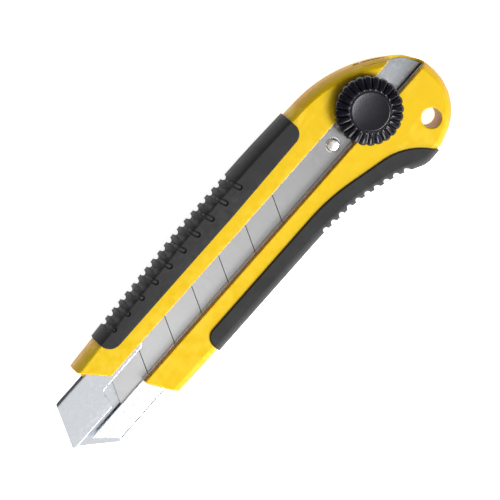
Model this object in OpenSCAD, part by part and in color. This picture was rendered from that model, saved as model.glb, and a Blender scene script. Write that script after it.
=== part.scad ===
// Utility knife with a wide snap-off blade, a steel blade sheath that runs the
// whole length of a moulded handle, rubber grips and a wheel that locks the blade.
//
// The knife lies on its back. +X runs from the sheath tip to the tail, +Y to the
// spine side, +Z up to the wheel. Every size below is taken from the sheath tip
// (x = 0), the blade's centre line (y = 0) and the back of the handle (z = 0);
// the whole is moved at the end so that the origin is the middle of its footprint.

/* [Handle] */
// Length over all, sheath tip to tail
overall_len = 193.7; // [185:0.1:215]
// Thickness of the handle, back face to front face
body_thick = 15; // [14:0.1:19]
// Blade centre line to the spine side of the handle, without rubber
spine_half = 21.5; // [21:0.1:25]
// Blade centre line to the finger side of the handle, without rubber
finger_half = 18.4; // [17.9:0.1:22]
// Blade centre line to the lowest point of the tail hook, without rubber
tail_drop = 30.6; // [28:0.1:36]
// Width of the bevel round the front and back faces
edge_bevel = 3; // [1.5:0.1:3.5]
// Height of the seam between the handle and the rear cover
seam_z = 4.6; // [4.2:0.1:5]
// Finger-side wall of the slot in the front face, from the centre line
slot_low = 5; // [4.8:0.1:6]
// Spine-side wall of the slot in the front face, from the centre line
slot_high = 5.9; // [5.2:0.1:7]
// Depth of the hollow in the rear cover
cover_hollow = 2; // [1:0.1:2.6]
// Thickness of the ribs in the rear cover
cover_rib = 1.5; // [1:0.1:2.5]

/* [Nose of the handle] */
// Front of the handle on the spine side
nose_spine_x = 22.3; // [20.5:0.1:26]
// Front of the handle where the slot starts, spine side
nose_slot_x = 29.8; // [27:0.1:33]
// Front of the handle where the slot starts, finger side
nose_finger_x = 36.3; // [34:0.1:40]
// Front of the handle at its finger-side edge
nose_edge_x = 41.7; // [39:0.1:46]

/* [Hang hole] */
// Diameter of the hang hole
hang_d = 7.6; // [5:0.1:8]
// Hang hole to the end of the tail
hang_from_tail = 14.4; // [13:0.1:17]
// Hang hole below the blade's centre line
hang_drop = 20; // [19:0.1:22]
// Wall of the tube round the hang hole where it passes the rear cover
hang_wall = 1.4; // [1:0.1:1.5]

/* [Rubber grips] */
// How far the rubber stands out from the handle
rubber_proud = 0.8; // [0.4:0.1:1]
// How deep the rubber is let into the handle
rubber_depth = 1.6; // [1:0.1:1.8]
// Front end of the spine grip
spine_grip_x = 35.7; // [32:0.1:40]
// Length of the spine grip
spine_grip_len = 108.2; // [95:0.1:112]
// Inner edge of the spine grip, from the centre line
spine_grip_y = 11.4; // [10:0.1:14]
// Front end of the finger grip
finger_grip_x = 62.9; // [58:0.1:70]
// Inner edge of the finger grip, from the centre line
finger_grip_y = 11; // [9.5:0.1:13]
// Number of grooves across the spine grip
spine_grooves = 19; // [10:1:20]
// Spacing of the grooves across the spine grip
spine_groove_pitch = 3.85; // [3:0.05:4]
// Number of grooves across the finger grip
finger_grooves = 10; // [6:1:10]
// Spacing of the grooves across the finger grip
finger_groove_pitch = 4.05; // [3.4:0.05:4.1]
// Radius of the grip grooves
groove_r = 1.3; // [0.8:0.1:1.5]
// Number of ring dimples along the spine grip
dimples = 10; // [4:1:12]
// Spacing of the ring dimples
dimple_pitch = 7.75; // [6:0.05:8.2]
// Outer radius of a ring dimple
dimple_r = 1.7; // [1.2:0.1:2]
// Depth of a ring dimple
dimple_depth = 0.5; // [0.3:0.1:0.7]

/* [Sheath] */
// Width of the steel sheath
sheath_w = 28.2; // [27.9:0.1:28.6]
// Thickness of the sheet steel
sheath_t = 1; // [0.8:0.05:1.1]
// Underside of the sheath above the back of the handle
sheath_z = 6.5; // [6.3:0.1:7.4]
// Height of the channel inside the sheath
channel_h = 2.3; // [2.2:0.05:2.6]
// Finger-side lip's edge, from the centre line
lip_low = 4.7; // [4.5:0.1:5]
// Spine-side lip's edge along the handle, from the centre line
lip_high = 5; // [4.8:0.1:5.1]
// Spine-side lip's edge ahead of the click notches
lip_high_front = 4; // [3.9:0.1:4.5]
// Where the spine-side lip widens out over the nose
lip_nose_x = 22; // [19:0.1:23.5]
// How far the wide part of the spine-side lip reaches past the centre line
lip_nose_y = 2.8; // [2:0.1:3.4]
// First click notch
notch_x = 48.5; // [47:0.1:52]
// Spacing of the click notches
notch_pitch = 5.4; // [4:0.1:8]
// Radius of a click notch
notch_r = 0.6; // [0.3:0.05:0.8]

/* [Blade] */
// Width of the blade
blade_w = 25; // [24.4:0.1:25.4]
// Thickness of the blade
blade_t = 0.7; // [0.5:0.05:0.8]
// Length of one snap-off segment
segment = 15; // [12:0.5:16]
// Number of score lines
score_lines = 6; // [4:1:6]
// Slant of the segments, from straight across
blade_slant = 28; // [20:1:32]
// Front edge of the blade on the centre line, drawn in
blade_front_x = 26.6; // [26:0.1:40]
// Height of the ground cutting edge
edge_grind = 2.2; // [1:0.1:4]
// Diameter of the hole in the blade's tail
blade_hole_d = 6; // [5.5:0.1:7]
// Blade stud, from the sheath tip
stud_x = 147.8; // [144:0.1:148.5]
// Diameter of the blade stud
stud_d = 5; // [4:0.1:5.2]
// Blade's tail end behind the stud
blade_tail = 5.8; // [4:0.1:6.5]

/* [Lock] */
// Wheel centre behind the blade stud
wheel_behind = 18; // [17.5:0.1:19]
// Diameter of the wheel
wheel_d = 26; // [22:0.1:26.5]
// Underside of the wheel's rim above the front face
wheel_gap = 1.4; // [1.3:0.1:2]
// Height of the wheel
wheel_h = 5.6; // [5.5:0.1:7]
// Number of finger flutes round the wheel
flutes = 24; // [12:1:30]
// Radius of the flutes
flute_r = 1.1; // [0.6:0.1:1.3]
// Diameter of the smooth disc in the middle of the wheel
disc_d = 15; // [13:0.1:15.4]
// Outside diameter of the lock thread
thread_d = 4.9; // [4.4:0.1:5.2]
// Diameter of the pressure washer
washer_d = 16.4; // [13:0.1:18]
// Thickness of the pressure washer
washer_t = 0.9; // [0.6:0.05:0.95]

/* [Fasteners] */
// Shank diameter of the cover screws
screw_d = 2; // [1.6:0.1:2.2]
// Head diameter of the cover screws
screw_head_d = 3.4; // [3:0.1:3.6]
// Outside diameter of the thread inserts
insert_d = 2.9; // [2.7:0.05:3]
// Diameter of the dowels that hold the sheath
dowel_d = 3; // [2:0.1:3.5]

/* [Fits] */
// Gap between the handle and the steel sheath let into it
sheath_fit = 0.05; // [0.02:0.01:0.1]
// Gap between the sliding carrier and the sheath, each way
slide_gap = 0.3; // [0.2:0.05:0.5]
// Gap under and over the sliding plate and the blade
plate_gap = 0.1; // [0.05:0.05:0.15]
// Radial gap of the lock thread
thread_fit = 0.08; // [0.05:0.01:0.1]
// Radial gap round the cover screws' shanks
screw_fit = 0.15; // [0.1:0.05:0.2]

/* [Hidden] */

$fn = 48;
arc_step = 9;
over = 1;

tail = overall_len;
top = body_thick;
stud_top_gap = 0.4;
wheel_x = stud_x + wheel_behind;
hang_x = tail - hang_from_tail;
hang_y = -hang_drop;

// heights of the stack in the sheath
floor_z = sheath_z + sheath_t;
lip_z = floor_z + channel_h;
lip_top = lip_z + sheath_t;
plate_z = floor_z + plate_gap;
plate_t = 1.2;
plate_top = plate_z + plate_t;
blade_z = plate_top + 0.05;
blade_top = blade_z + blade_t;

// heights of the lock
washer_z = top + 0.05;
washer_top = washer_z + washer_t;
rim_z = top + wheel_gap;
wheel_top = rim_z + wheel_h;
hub_z = washer_top + 0.8;
lift = 0.8;
insert_h = 2.2;
insert_z = hub_z + 0.05;
ring_z = insert_z + insert_h + lift + 0.1;
ring_t = 0.5;
thread_top = ring_z + ring_t + 0.2;
cap_z = thread_top + 0.15;
cap_t = wheel_top - 0.2 - cap_z;
thread_r = thread_d / 2;
ring_r = thread_r - 0.45;

// corners of the handle's outline, each with the radius that rounds it. It
// starts on the spine side, from where every other corner can be seen
hook_x = tail - 27.7;
outline = [
  [tail - 68.7, spine_half, 240],
  [88, spine_half, 240],
  [10, spine_half - 3.8, 6],
  [10, -finger_half + 1.1, 6],
  [62, -finger_half, 100],
  [tail - 73.7, -finger_half - 0.1, 90],
  [tail - 55.7, -finger_half - 1.6, 60],
  [tail - 37.7, -finger_half - 6.8, 40],
  [hook_x, -tail_drop, 8],
  [tail - 18.8, -tail_drop, 9],
  [tail, -tail_drop + 6.2, 21],
  [tail, -5, 8],
  [tail - 3.7, 2.3, 8],
  [tail - 22.6, spine_half - 1.5, 55]
];

// outlines of the two grips, on past the sides of the handle
spine_end = spine_grip_x + spine_grip_len;
spine_region = [
  [spine_grip_x, 40, 1],
  [spine_grip_x, spine_grip_y, 5],
  [spine_end - 40, spine_grip_y, 90],
  [spine_end, spine_grip_y + 0.7, 4.5],
  [spine_end, 40, 1]
];
finger_region = [
  [finger_grip_x, -finger_grip_y, 4.5],
  [finger_grip_x, -50, 1],
  [tail - 21.1, -50, 1],
  [tail - 21.1, -tail_drop + 0.4, 3],
  [tail - 28.2, -finger_grip_y - 8.2, 25],
  [tail - 61.7, -finger_grip_y + 0.1, 80]
];

// what is cut away in front of the nose
nose_region = [
  [5, 40, 1],
  [5, -45, 1],
  [nose_edge_x, -45, 1],
  [nose_edge_x, -finger_half + 0.9, 0.5],
  [nose_finger_x, -6.2, 3],
  [nose_finger_x, -slot_low - 0.1, 0.2],
  [nose_slot_x, slot_high - 0.4, 1],
  [nose_spine_x, spine_half - 5.6, 1.4],
  [nose_spine_x, 40, 1]
];

// sheath seen from the front: the pointed nose and the end that follows the tail
half_w = sheath_w / 2;
sheath_outline = [
  [0, -1.9, 0.01],
  [6, -7.4, 8],
  [13, -half_w, 1],
  [tail - 2.7, -half_w, 0.5],
  [tail - 1.2, -9, 10],
  [tail - 1.2, -5.2, 8],
  [tail - 4.3, 2.2, 6],
  [tail - 20.5, half_w, 1],
  [8.5, half_w, 1]
];
// the opening between the sheath's lips
lips_gap = [
  [-10, -lip_low, 0.1],
  [tail + 10, -lip_low, 0.1],
  [tail + 10, lip_high, 0.1],
  [46.2, lip_high, 0.8],
  [44.9, lip_high_front, 0.8],
  [lip_nose_x + 0.7, lip_high_front - 0.1, 2],
  [lip_nose_x - 0.2, -lip_nose_y, 1.6],
  [-10, -lip_nose_y, 0.1]
];
// the corner taken off the finger-side lip behind the tip
lip_corner = [
  [-10, -lip_low + 0.05, 0.1],
  [-10, -20, 0.1],
  [17.2, -20, 0.1],
  [15.2, -half_w + 0.6, 1.5],
  [7.4, -lip_low + 0.05, 0.2]
];

// bevelled sides: height, then how far the outline is drawn in
body_levels = [
  [seam_z, 0.2],
  [sheath_z, 0],
  [top - 6, 0],
  [top - 3, edge_bevel * 0.2],
  [top - 1, edge_bevel * 0.6],
  [top, edge_bevel]
];
body_core_levels = [
  [seam_z - over, rubber_depth + 0.3],
  [sheath_z, rubber_depth],
  [top - 6, rubber_depth],
  [top - 3, rubber_depth + edge_bevel * 0.25],
  [top - 1.4, rubber_depth + edge_bevel * 0.7],
  [top - rubber_proud, rubber_depth + edge_bevel * 1.1]
];
body_rubber_levels = [
  [seam_z, 0.2 - rubber_proud],
  [sheath_z, -rubber_proud],
  [top - 6, -rubber_proud],
  [top - 2.8, edge_bevel * 0.2 - rubber_proud],
  [top - 0.4, edge_bevel * 0.65 - rubber_proud],
  [top + rubber_proud, edge_bevel - 0.2]
];
cover_levels = [
  [0, edge_bevel],
  [1, edge_bevel * 0.6],
  [3, edge_bevel * 0.2],
  [seam_z, 0.2]
];
cover_core_levels = [
  [1.3, rubber_depth + edge_bevel * 1.1],
  [2, rubber_depth + edge_bevel * 0.7],
  [3.2, rubber_depth + edge_bevel * 0.25],
  [seam_z + over, rubber_depth]
];
cover_rubber_levels = [
  [0, edge_bevel - 0.4],
  [0.9, edge_bevel * 0.6 - rubber_proud],
  [3, edge_bevel * 0.2 - rubber_proud],
  [seam_z, 0.2 - rubber_proud]
];

// cover screws: two in the spine side, one in the nose, three in the finger side
screw_spots = [
  [nose_slot_x + 3.4, 16],
  [96, 17.3],
  [tail - 37.7, 16.9],
  [53, -15.95],
  [tail - 47.7, -17.9],
  [tail - 25.7, -24.4]
];
head_z = 2.1;
head_t = 1.2;
dowel_spots = [[58, -9.2], [tail - 43, -9.2]];

// the origin is the middle of the footprint
span_x = [min([for (p = ring(sheath_outline, 0)) p[0]]), tail];
span_y = [-tail_drop - rubber_proud, spine_half + rubber_proud];
origin = [-(span_x[0] + span_x[1]) / 2, -(span_y[0] + span_y[1]) / 2, 0];

yellow = [0.95, 0.80, 0.08];
rubber = [0.17, 0.17, 0.18];
steel = [0.78, 0.79, 0.80];
dark = [0.10, 0.09, 0.11];
brass = [0.80, 0.65, 0.30];

function unit(v) = v / norm(v);

function heading(c, i) =
  let (a = c[i], b = c[(i + 1) % len(c)])
  unit([b[0] - a[0], b[1] - a[1]]);

// a ring of points: the outline c drawn in by d, its corners rounded
function ring(c, d) = [
  for (i = [0 : len(c) - 1])
    let (
      u = heading(c, (i + len(c) - 1) % len(c)),
      v = heading(c, i),
      turn = atan2(u[0] * v[1] - u[1] * v[0], u[0] * v[0] + u[1] * v[1]),
      side = sign(turn),
      r = max(c[i][2] - side * d, 0.3),
      n1 = [u[1], -u[0]],
      n2 = [v[1], -v[0]],
      q = [c[i][0], c[i][1]] - d * (n1 + n2) / (1 + n1 * n2),
      a = q - u * (r * tan(abs(turn) / 2)),
      mid = a + side * r * [-u[1], u[0]],
      start = atan2(a[1] - mid[1], a[0] - mid[0]),
      steps = max(1, ceil(abs(turn) / arc_step))
    )
    for (k = [0 : steps])
      mid + r * [cos(start + turn * k / steps), sin(start + turn * k / steps)]
];

// a body with bevelled sides, one ring of points at each height
module bevelled(c, levels) {
  rings = [for (l = levels) ring(c, l[1])];
  n = len(rings[0]);
  last = len(levels) - 1;
  pts = [for (k = [0 : last]) for (p = rings[k]) [p[0], p[1], levels[k][0]]];
  under = [for (i = [0 : n - 1]) i];
  upper = [for (i = [n - 1 : -1 : 0]) last * n + i];
  sides = [
    for (k = [0 : last - 1])
      for (i = [0 : n - 1])
        let (j = (i + 1) % n)
        [k * n + i, (k + 1) * n + i, (k + 1) * n + j, k * n + j]
  ];
  polyhedron(points = pts, faces = concat([under], [upper], sides), convexity = 6);
}

// an upright block between two heights with a rounded outline
module upright(c, z0, z1) {
  translate([0, 0, z0])
    linear_extrude(z1 - z0)
      polygon(ring(c, 0));
}

module post(x, y, z0, z1, r) {
  translate([x, y, z0])
    cylinder(r = r, h = z1 - z0);
}

module box(x0, x1, y0, y1, z0, z1) {
  translate([x0, y0, z0])
    cube([x1 - x0, y1 - y0, z1 - z0]);
}

module placed() {
  translate(origin)
    children();
}

module grip_spaces(z0, z1) {
  upright(spine_region, z0, z1);
  upright(finger_region, z0, z1);
}

// ---- handle ----

module handle_body() {
  placed() color(yellow) difference() {
    bevelled(outline, body_levels);
    difference() {
      grip_spaces(seam_z - over / 2, top + over);
      bevelled(outline, body_core_levels);
    }
    upright(nose_region, seam_z - 2 * over, top + 2 * over);
    box(-over, tail + over, -half_w - sheath_fit, half_w + sheath_fit,
      sheath_z - sheath_fit, lip_top + sheath_fit);
    box(-over, tail + over, -slot_low, slot_high, lip_top, top + over);
    for (p = screw_spots)
      post(p[0], p[1], seam_z - over, seam_z + 4.8, insert_d / 2);
    for (p = dowel_spots)
      post(p[0], p[1], seam_z - over, sheath_z, dowel_d / 2);
    post(hang_x, hang_y, -over, top + over, hang_d / 2);
  }
  placed() color(yellow) difference() {
    post(hang_x, hang_y, 0, seam_z, hang_d / 2 + hang_wall);
    post(hang_x, hang_y, -over, seam_z + over, hang_d / 2);
  }
}

module cover_hollows() {
  z0 = seam_z - cover_hollow;
  difference() {
    intersection() {
      upright(outline_inner, z0, seam_z + over);
      box(nose_edge_x + 4, tail - 6, -50, 50, z0 - over, seam_z + over);
    }
    for (x = [70 : 24 : tail - 10])
      box(x, x + cover_rib, -50, 50, z0 - over, seam_z + 2);
    box(0, tail, -cover_rib / 2, cover_rib / 2, z0 - over, seam_z + 2);
    for (p = screw_spots)
      post(p[0], p[1], z0 - over, seam_z + 2, screw_head_d / 2 + 1.3);
    for (p = dowel_spots)
      post(p[0], p[1], z0 - over, seam_z + 2, dowel_d / 2 + 1);
    post(hang_x, hang_y, z0 - over, seam_z + 2, hang_d / 2 + hang_wall + 1.5);
  }
}
outline_inner = ring_corners(outline, 5.6);
function ring_corners(c, d) = [
  for (i = [0 : len(c) - 1])
    let (
      u = heading(c, (i + len(c) - 1) % len(c)),
      v = heading(c, i),
      turn = atan2(u[0] * v[1] - u[1] * v[0], u[0] * v[0] + u[1] * v[1]),
      n1 = [u[1], -u[0]],
      n2 = [v[1], -v[0]],
      q = [c[i][0], c[i][1]] - d * (n1 + n2) / (1 + n1 * n2)
    )
    [q[0], q[1], max(c[i][2] - sign(turn) * d, 0.4)]
];

module screw_ways(z0, z1) {
  for (p = screw_spots) {
    post(p[0], p[1], z0, head_z + head_t, screw_head_d / 2 + 0.3);
    post(p[0], p[1], z0, z1, screw_d / 2 + screw_fit);
  }
}

module rear_cover() {
  placed() color(yellow) difference() {
    bevelled(outline, cover_levels);
    difference() {
      grip_spaces(-over, seam_z + over / 2);
      bevelled(outline, cover_core_levels);
    }
    upright(nose_region, -2 * over, seam_z + 2 * over);
    cover_hollows();
    screw_ways(-over, seam_z + over);
    post(hang_x, hang_y, -over, seam_z + over, hang_d / 2 + hang_wall);
  }
}

module cover_screws() {
  placed() color(dark)
    for (p = screw_spots) {
      difference() {
        post(p[0], p[1], head_z, head_z + head_t, screw_head_d / 2);
        post(p[0], p[1], head_z - over, head_z + 0.8, 0.85, $fn = 6);
      }
      post(p[0], p[1], head_z + head_t - 0.1, seam_z + 4.4, screw_d / 2);
    }
}

module thread_inserts() {
  placed() color(brass)
    for (p = screw_spots)
      difference() {
        post(p[0], p[1], seam_z + 0.1, seam_z + 4.7, insert_d / 2);
        post(p[0], p[1], seam_z - over, seam_z + 6, screw_d / 2 + 0.02);
      }
}

// ---- grips ----

module spine_groove_cuts() {
  for (i = [0 : spine_grooves - 1])
    post(spine_grip_x + 7 + i * spine_groove_pitch,
      spine_half + rubber_proud + 0.3 - groove_slope(i),
      -over, top + 3, groove_r);
}
// the spine side falls towards the nose, and the grooves follow it
function groove_slope(i) =
  max(0, (88 - (spine_grip_x + 7 + i * spine_groove_pitch)) * 3.3 / 68);

module finger_groove_cuts() {
  for (i = [0 : finger_grooves - 1]) {
    x = tail - 71.1 + i * finger_groove_pitch;
    y = lookup(x, [
      [tail - 73.7, -finger_half - 0.1],
      [tail - 55.7, -finger_half - 1.6],
      [tail - 37.7, -finger_half - 6.8],
      [hook_x, -tail_drop]
    ]);
    post(x, y - rubber_proud - 0.3, -over, top + 3, groove_r);
  }
}

module dimple_cuts() {
  for (i = [0 : dimples - 1])
    translate([spine_grip_x + 7.4 + i * dimple_pitch, spine_grip_y + 5.6,
        top + rubber_proud - dimple_depth])
      linear_extrude(dimple_depth + over)
        difference() {
          circle(r = dimple_r, $fn = 24);
          circle(r = dimple_r - 0.7, $fn = 24);
        }
}

module spine_grip() {
  placed() color(rubber) difference() {
    intersection() {
      bevelled(outline, body_rubber_levels);
      upright(spine_region, seam_z - over, top + 2);
    }
    bevelled(outline, body_core_levels);
    spine_groove_cuts();
    dimple_cuts();
  }
}

module finger_grip() {
  placed() color(rubber) difference() {
    intersection() {
      bevelled(outline, body_rubber_levels);
      upright(finger_region, seam_z - over, top + 2);
    }
    bevelled(outline, body_core_levels);
    finger_groove_cuts();
  }
}

module rear_spine_grip() {
  placed() color(rubber) difference() {
    intersection() {
      bevelled(outline, cover_rubber_levels);
      upright(spine_region, -over, seam_z + over);
    }
    bevelled(outline, cover_core_levels);
    spine_groove_cuts();
    screw_ways(-over, 2);
  }
}

module rear_finger_grip() {
  placed() color(rubber) difference() {
    intersection() {
      bevelled(outline, cover_rubber_levels);
      upright(finger_region, -over, seam_z + over);
    }
    bevelled(outline, cover_core_levels);
    finger_groove_cuts();
    screw_ways(-over, 2);
  }
}

// ---- sheath and blade ----

module sheath() {
  placed() color(steel) difference() {
    upright(sheath_outline, sheath_z, lip_top);
    box(-over, tail + over, -half_w + sheath_t, half_w - sheath_t, floor_z, lip_z);
    upright(lips_gap, lip_z - 0.1, lip_top + over);
    upright(lip_corner, floor_z, lip_top + over);
    for (x = [notch_x : notch_pitch : tail - 8])
      post(x, lip_high, lip_z - over, lip_top + over, notch_r);
    for (p = dowel_spots)
      post(p[0], p[1], sheath_z - over, floor_z + 0.5, dowel_d / 2);
  }
}

module sheath_dowels() {
  placed() color(steel)
    for (p = dowel_spots)
      post(p[0], p[1], seam_z, floor_z - 0.05, dowel_d / 2);
}

module blade() {
  lean = tan(blade_slant);
  hw = blade_w / 2;
  tip_x = blade_front_x - hw * lean;
  end_x = stud_x + blade_tail;
  placed() color(steel) difference() {
    translate([0, 0, blade_z])
      linear_extrude(blade_t)
        polygon([
          [tip_x, -hw], [end_x - 1.5, -hw], [end_x, -hw + 1.5],
          [end_x, hw - 1.5], [end_x - 1.5, hw], [blade_front_x + hw * lean, hw]
        ]);
    post(stud_x, 0, blade_z - over, blade_top + over, blade_hole_d / 2);
    // both faces ground to the cutting edge
    translate([tip_x - over, 0, 0])
      rotate([90, 0, 90])
        linear_extrude(end_x - tip_x + 2 * over) {
          polygon([
            [-hw - over, blade_top + over], [-hw - over, blade_z + blade_t / 2 + 0.05],
            [-hw, blade_z + blade_t / 2 + 0.05], [-hw + edge_grind, blade_top],
            [-hw + edge_grind, blade_top + over]
          ]);
          polygon([
            [-hw - over, blade_z - over], [-hw + edge_grind, blade_z - over],
            [-hw + edge_grind, blade_z], [-hw, blade_z + blade_t / 2 - 0.05],
            [-hw - over, blade_z + blade_t / 2 - 0.05]
          ]);
        }
    // score lines
    for (k = [1 : score_lines])
      translate([blade_front_x + k * segment, 0, blade_top])
        rotate([0, 0, -blade_slant])
          rotate([0, 45, 0])
            cube([0.25, blade_w * 1.5, 0.25], center = true);
  }
}

// ---- carrier that slides in the sheath ----

module slide_plate() {
  x0 = stud_x - 6.5;
  x1 = wheel_x + 12.2;
  placed() color(steel) difference() {
    box(x0, x1, -half_w + sheath_t + slide_gap, half_w - sheath_t - slide_gap,
      plate_z, plate_top);
    post(stud_x, 0, plate_z - over, plate_top + over, stud_d / 2 - 0.6);
    post(wheel_x, 0, plate_z - over, plate_top + over, thread_r + 0.55);
  }
}

module blade_stud() {
  placed() color(steel) {
    post(stud_x, 0, plate_z + 0.05, plate_top + 0.01, stud_d / 2 - 0.6);
    post(stud_x, 0, plate_top, lip_z + stud_top_gap, stud_d / 2);
  }
}

module lock_screw() {
  placed() color(steel) difference() {
    union() {
      post(wheel_x, 0, plate_z + 0.05, plate_top, thread_r + 0.55);
      post(wheel_x, 0, plate_top - 0.1, thread_top, thread_r);
    }
    difference() {
      post(wheel_x, 0, ring_z, ring_z + ring_t, thread_r + 1);
      post(wheel_x, 0, ring_z - over, ring_z + ring_t + over, ring_r);
    }
  }
}

spring_y = lip_high_front - 1;
spring_t = 0.35;
module guide_block() {
  placed() color(dark) difference() {
    union() {
      box(wheel_x - 7.8, wheel_x + 8.2, -lip_low + slide_gap, spring_y,
        plate_top, lip_top + 0.3);
      box(wheel_x - 8.8, wheel_x + 9.2, -slot_low + slide_gap, slot_high - slide_gap,
        lip_top + 0.2, top - 0.3);
    }
    post(wheel_x, 0, plate_top - over, top + over, thread_r);
    for (dx = [-3.8, 3.8])
      translate([wheel_x + dx, spring_y - 1.5, spring_mid])
        rotate([-90, 0, 0])
          cylinder(r = 0.5, h = 3, $fn = 24);
  }
}

spring_mid = (lip_z + blade_z) / 2 + 0.5;
module detent_spring() {
  x0 = wheel_x - 6;
  y0 = spring_y;
  tip = lip_high - 0.25;
  placed() color(steel) difference() {
    translate([0, 0, blade_z + 0.2])
      linear_extrude(lip_top - 0.1 - blade_z - 0.2)
        polygon([
          [x0, y0], [wheel_x + 6.4, y0], [wheel_x + 7.2, tip - spring_t * 1.4],
          [wheel_x + 8, y0], [wheel_x + 9, y0],
          [wheel_x + 9, y0 + spring_t], [wheel_x + 8.3, y0 + spring_t],
          [wheel_x + 7.2, tip], [wheel_x + 6.1, y0 + spring_t], [x0, y0 + spring_t]
        ]);
    for (dx = [-3.8, 3.8])
      translate([wheel_x + dx, y0 - over, spring_mid])
        rotate([-90, 0, 0])
          cylinder(r = 0.5, h = 3, $fn = 24);
  }
}

module spring_rivets() {
  placed() color(steel)
    for (dx = [-3.8, 3.8])
      translate([wheel_x + dx, spring_y - 1.5, spring_mid])
        rotate([-90, 0, 0]) {
          cylinder(r = 0.5, h = 1.5 + spring_t + 0.02, $fn = 24);
          translate([0, 0, 1.5 + spring_t])
            cylinder(r = 0.75, h = 0.25, $fn = 24);
        }
}

// ---- wheel and what it presses on ----

module pressure_washer() {
  placed() color(steel) difference() {
    post(wheel_x, 0, washer_z, washer_top, washer_d / 2);
    post(wheel_x, 0, washer_z - over, washer_top + over, thread_r + 0.45);
  }
}

module spring_washer() {
  r0 = thread_r + 0.55;
  r1 = 6.6;
  z0 = washer_top + 0.02;
  z1 = hub_z - 0.05;
  placed() color(steel)
    translate([wheel_x, 0, 0])
      rotate_extrude()
        polygon([[r1, z0], [r1, z0 + 0.4], [r0, z1], [r0, z1 - 0.4]]);
}

module lock_wheel() {
  r = wheel_d / 2;
  rd = disc_d / 2;
  slope = atan(2.3 / (r - rd - 0.9));
  placed() color(dark)
    translate([wheel_x, 0, 0])
      difference() {
        rotate_extrude()
          polygon([
            [4, hub_z], [7.2, hub_z], [7.2, rim_z], [r - 0.6, rim_z],
            [r, rim_z + 0.6], [r, wheel_top - 2.7], [r - 0.5, wheel_top - 2.3],
            [rd + 0.4, wheel_top], [rd, wheel_top], [rd, cap_z],
            [4.8, cap_z], [4.8, insert_z + insert_h], [4, insert_z + insert_h]
          ]);
        for (i = [0 : flutes - 1])
          rotate([0, 0, (i + 0.5) * 360 / flutes]) {
            translate([r + flute_r * 0.25, 0, rim_z - over])
              cylinder(r = flute_r, h = wheel_h + 2 * over, $fn = 24);
            translate([rd + 1, 0, wheel_top + flute_r * 0.45])
              rotate([0, 90 + slope, 0])
                cylinder(r = flute_r * 0.85, h = r - rd + 2, $fn = 24);
          }
      }
}

module wheel_insert() {
  placed() color(brass) difference() {
    post(wheel_x, 0, insert_z, insert_z + insert_h, 4);
    post(wheel_x, 0, insert_z - over, insert_z + insert_h + over,
      thread_r + thread_fit);
  }
}

module stop_ring() {
  placed() color(steel) difference() {
    post(wheel_x, 0, ring_z, ring_z + ring_t, 3.9);
    post(wheel_x, 0, ring_z - over, ring_z + ring_t + over, ring_r);
  }
}

module wheel_cap() {
  rc = disc_d / 2 - 0.05;
  placed() color(dark)
    translate([wheel_x, 0, 0])
      rotate_extrude()
        polygon([
          [0, cap_z], [rc, cap_z], [rc, cap_z + cap_t], [rc - 1, cap_z + cap_t],
          [0, cap_z + cap_t * 0.55]
        ]);
}

handle_body();
rear_cover();
cover_screws();
thread_inserts();
spine_grip();
finger_grip();
rear_spine_grip();
rear_finger_grip();
sheath();
sheath_dowels();
blade();
slide_plate();
blade_stud();
lock_screw();
guide_block();
detent_spring();
spring_rivets();
pressure_washer();
spring_washer();
lock_wheel();
wheel_insert();
stop_ring();
wheel_cap();
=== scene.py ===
"""Utility knife with a wide snap-off blade and a lock wheel: its looks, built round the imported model.

Sizes in the classes are in millimetres, measured like the part's: x from the sheath's tip to the tail,
y from the blade's centre line to the spine side, z up from the back face. They are turned into metres in
the frame's own coordinates when a mesh is made.
"""
import logging
import math
from dataclasses import dataclass, field
from enum import Enum
from typing import Callable, Dict, List, Optional, Sequence, Tuple, Union

import bmesh
import bpy
import numpy as np
from mathutils import Matrix, Vector
from mathutils.geometry import delaunay_2d_cdt


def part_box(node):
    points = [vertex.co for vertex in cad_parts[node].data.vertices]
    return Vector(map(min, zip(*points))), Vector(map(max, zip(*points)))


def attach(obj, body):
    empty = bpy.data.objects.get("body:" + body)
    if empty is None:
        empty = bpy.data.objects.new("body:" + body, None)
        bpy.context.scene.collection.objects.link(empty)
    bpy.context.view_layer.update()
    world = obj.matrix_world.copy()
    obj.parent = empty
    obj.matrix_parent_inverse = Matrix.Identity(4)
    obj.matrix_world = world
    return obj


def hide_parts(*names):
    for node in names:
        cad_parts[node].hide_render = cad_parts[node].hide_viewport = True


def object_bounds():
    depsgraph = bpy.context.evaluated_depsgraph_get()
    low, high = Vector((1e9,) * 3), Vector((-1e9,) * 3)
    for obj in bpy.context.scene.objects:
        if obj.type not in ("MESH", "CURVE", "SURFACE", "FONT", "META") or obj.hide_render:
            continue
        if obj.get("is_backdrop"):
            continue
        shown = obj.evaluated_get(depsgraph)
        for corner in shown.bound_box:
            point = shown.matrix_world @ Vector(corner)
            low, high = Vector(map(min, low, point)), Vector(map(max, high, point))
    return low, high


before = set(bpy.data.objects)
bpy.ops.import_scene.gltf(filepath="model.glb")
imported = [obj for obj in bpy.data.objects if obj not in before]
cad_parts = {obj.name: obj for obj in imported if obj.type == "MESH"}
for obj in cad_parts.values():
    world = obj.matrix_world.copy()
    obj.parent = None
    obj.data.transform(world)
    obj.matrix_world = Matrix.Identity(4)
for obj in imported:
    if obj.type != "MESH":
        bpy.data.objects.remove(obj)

logging.basicConfig(level=logging.INFO, format="%(message)s")
LOG = logging.getLogger("utility_knife")

Array = np.ndarray
Corner = Tuple[float, float, float]
Height = Callable[[Array], Array]

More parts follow.
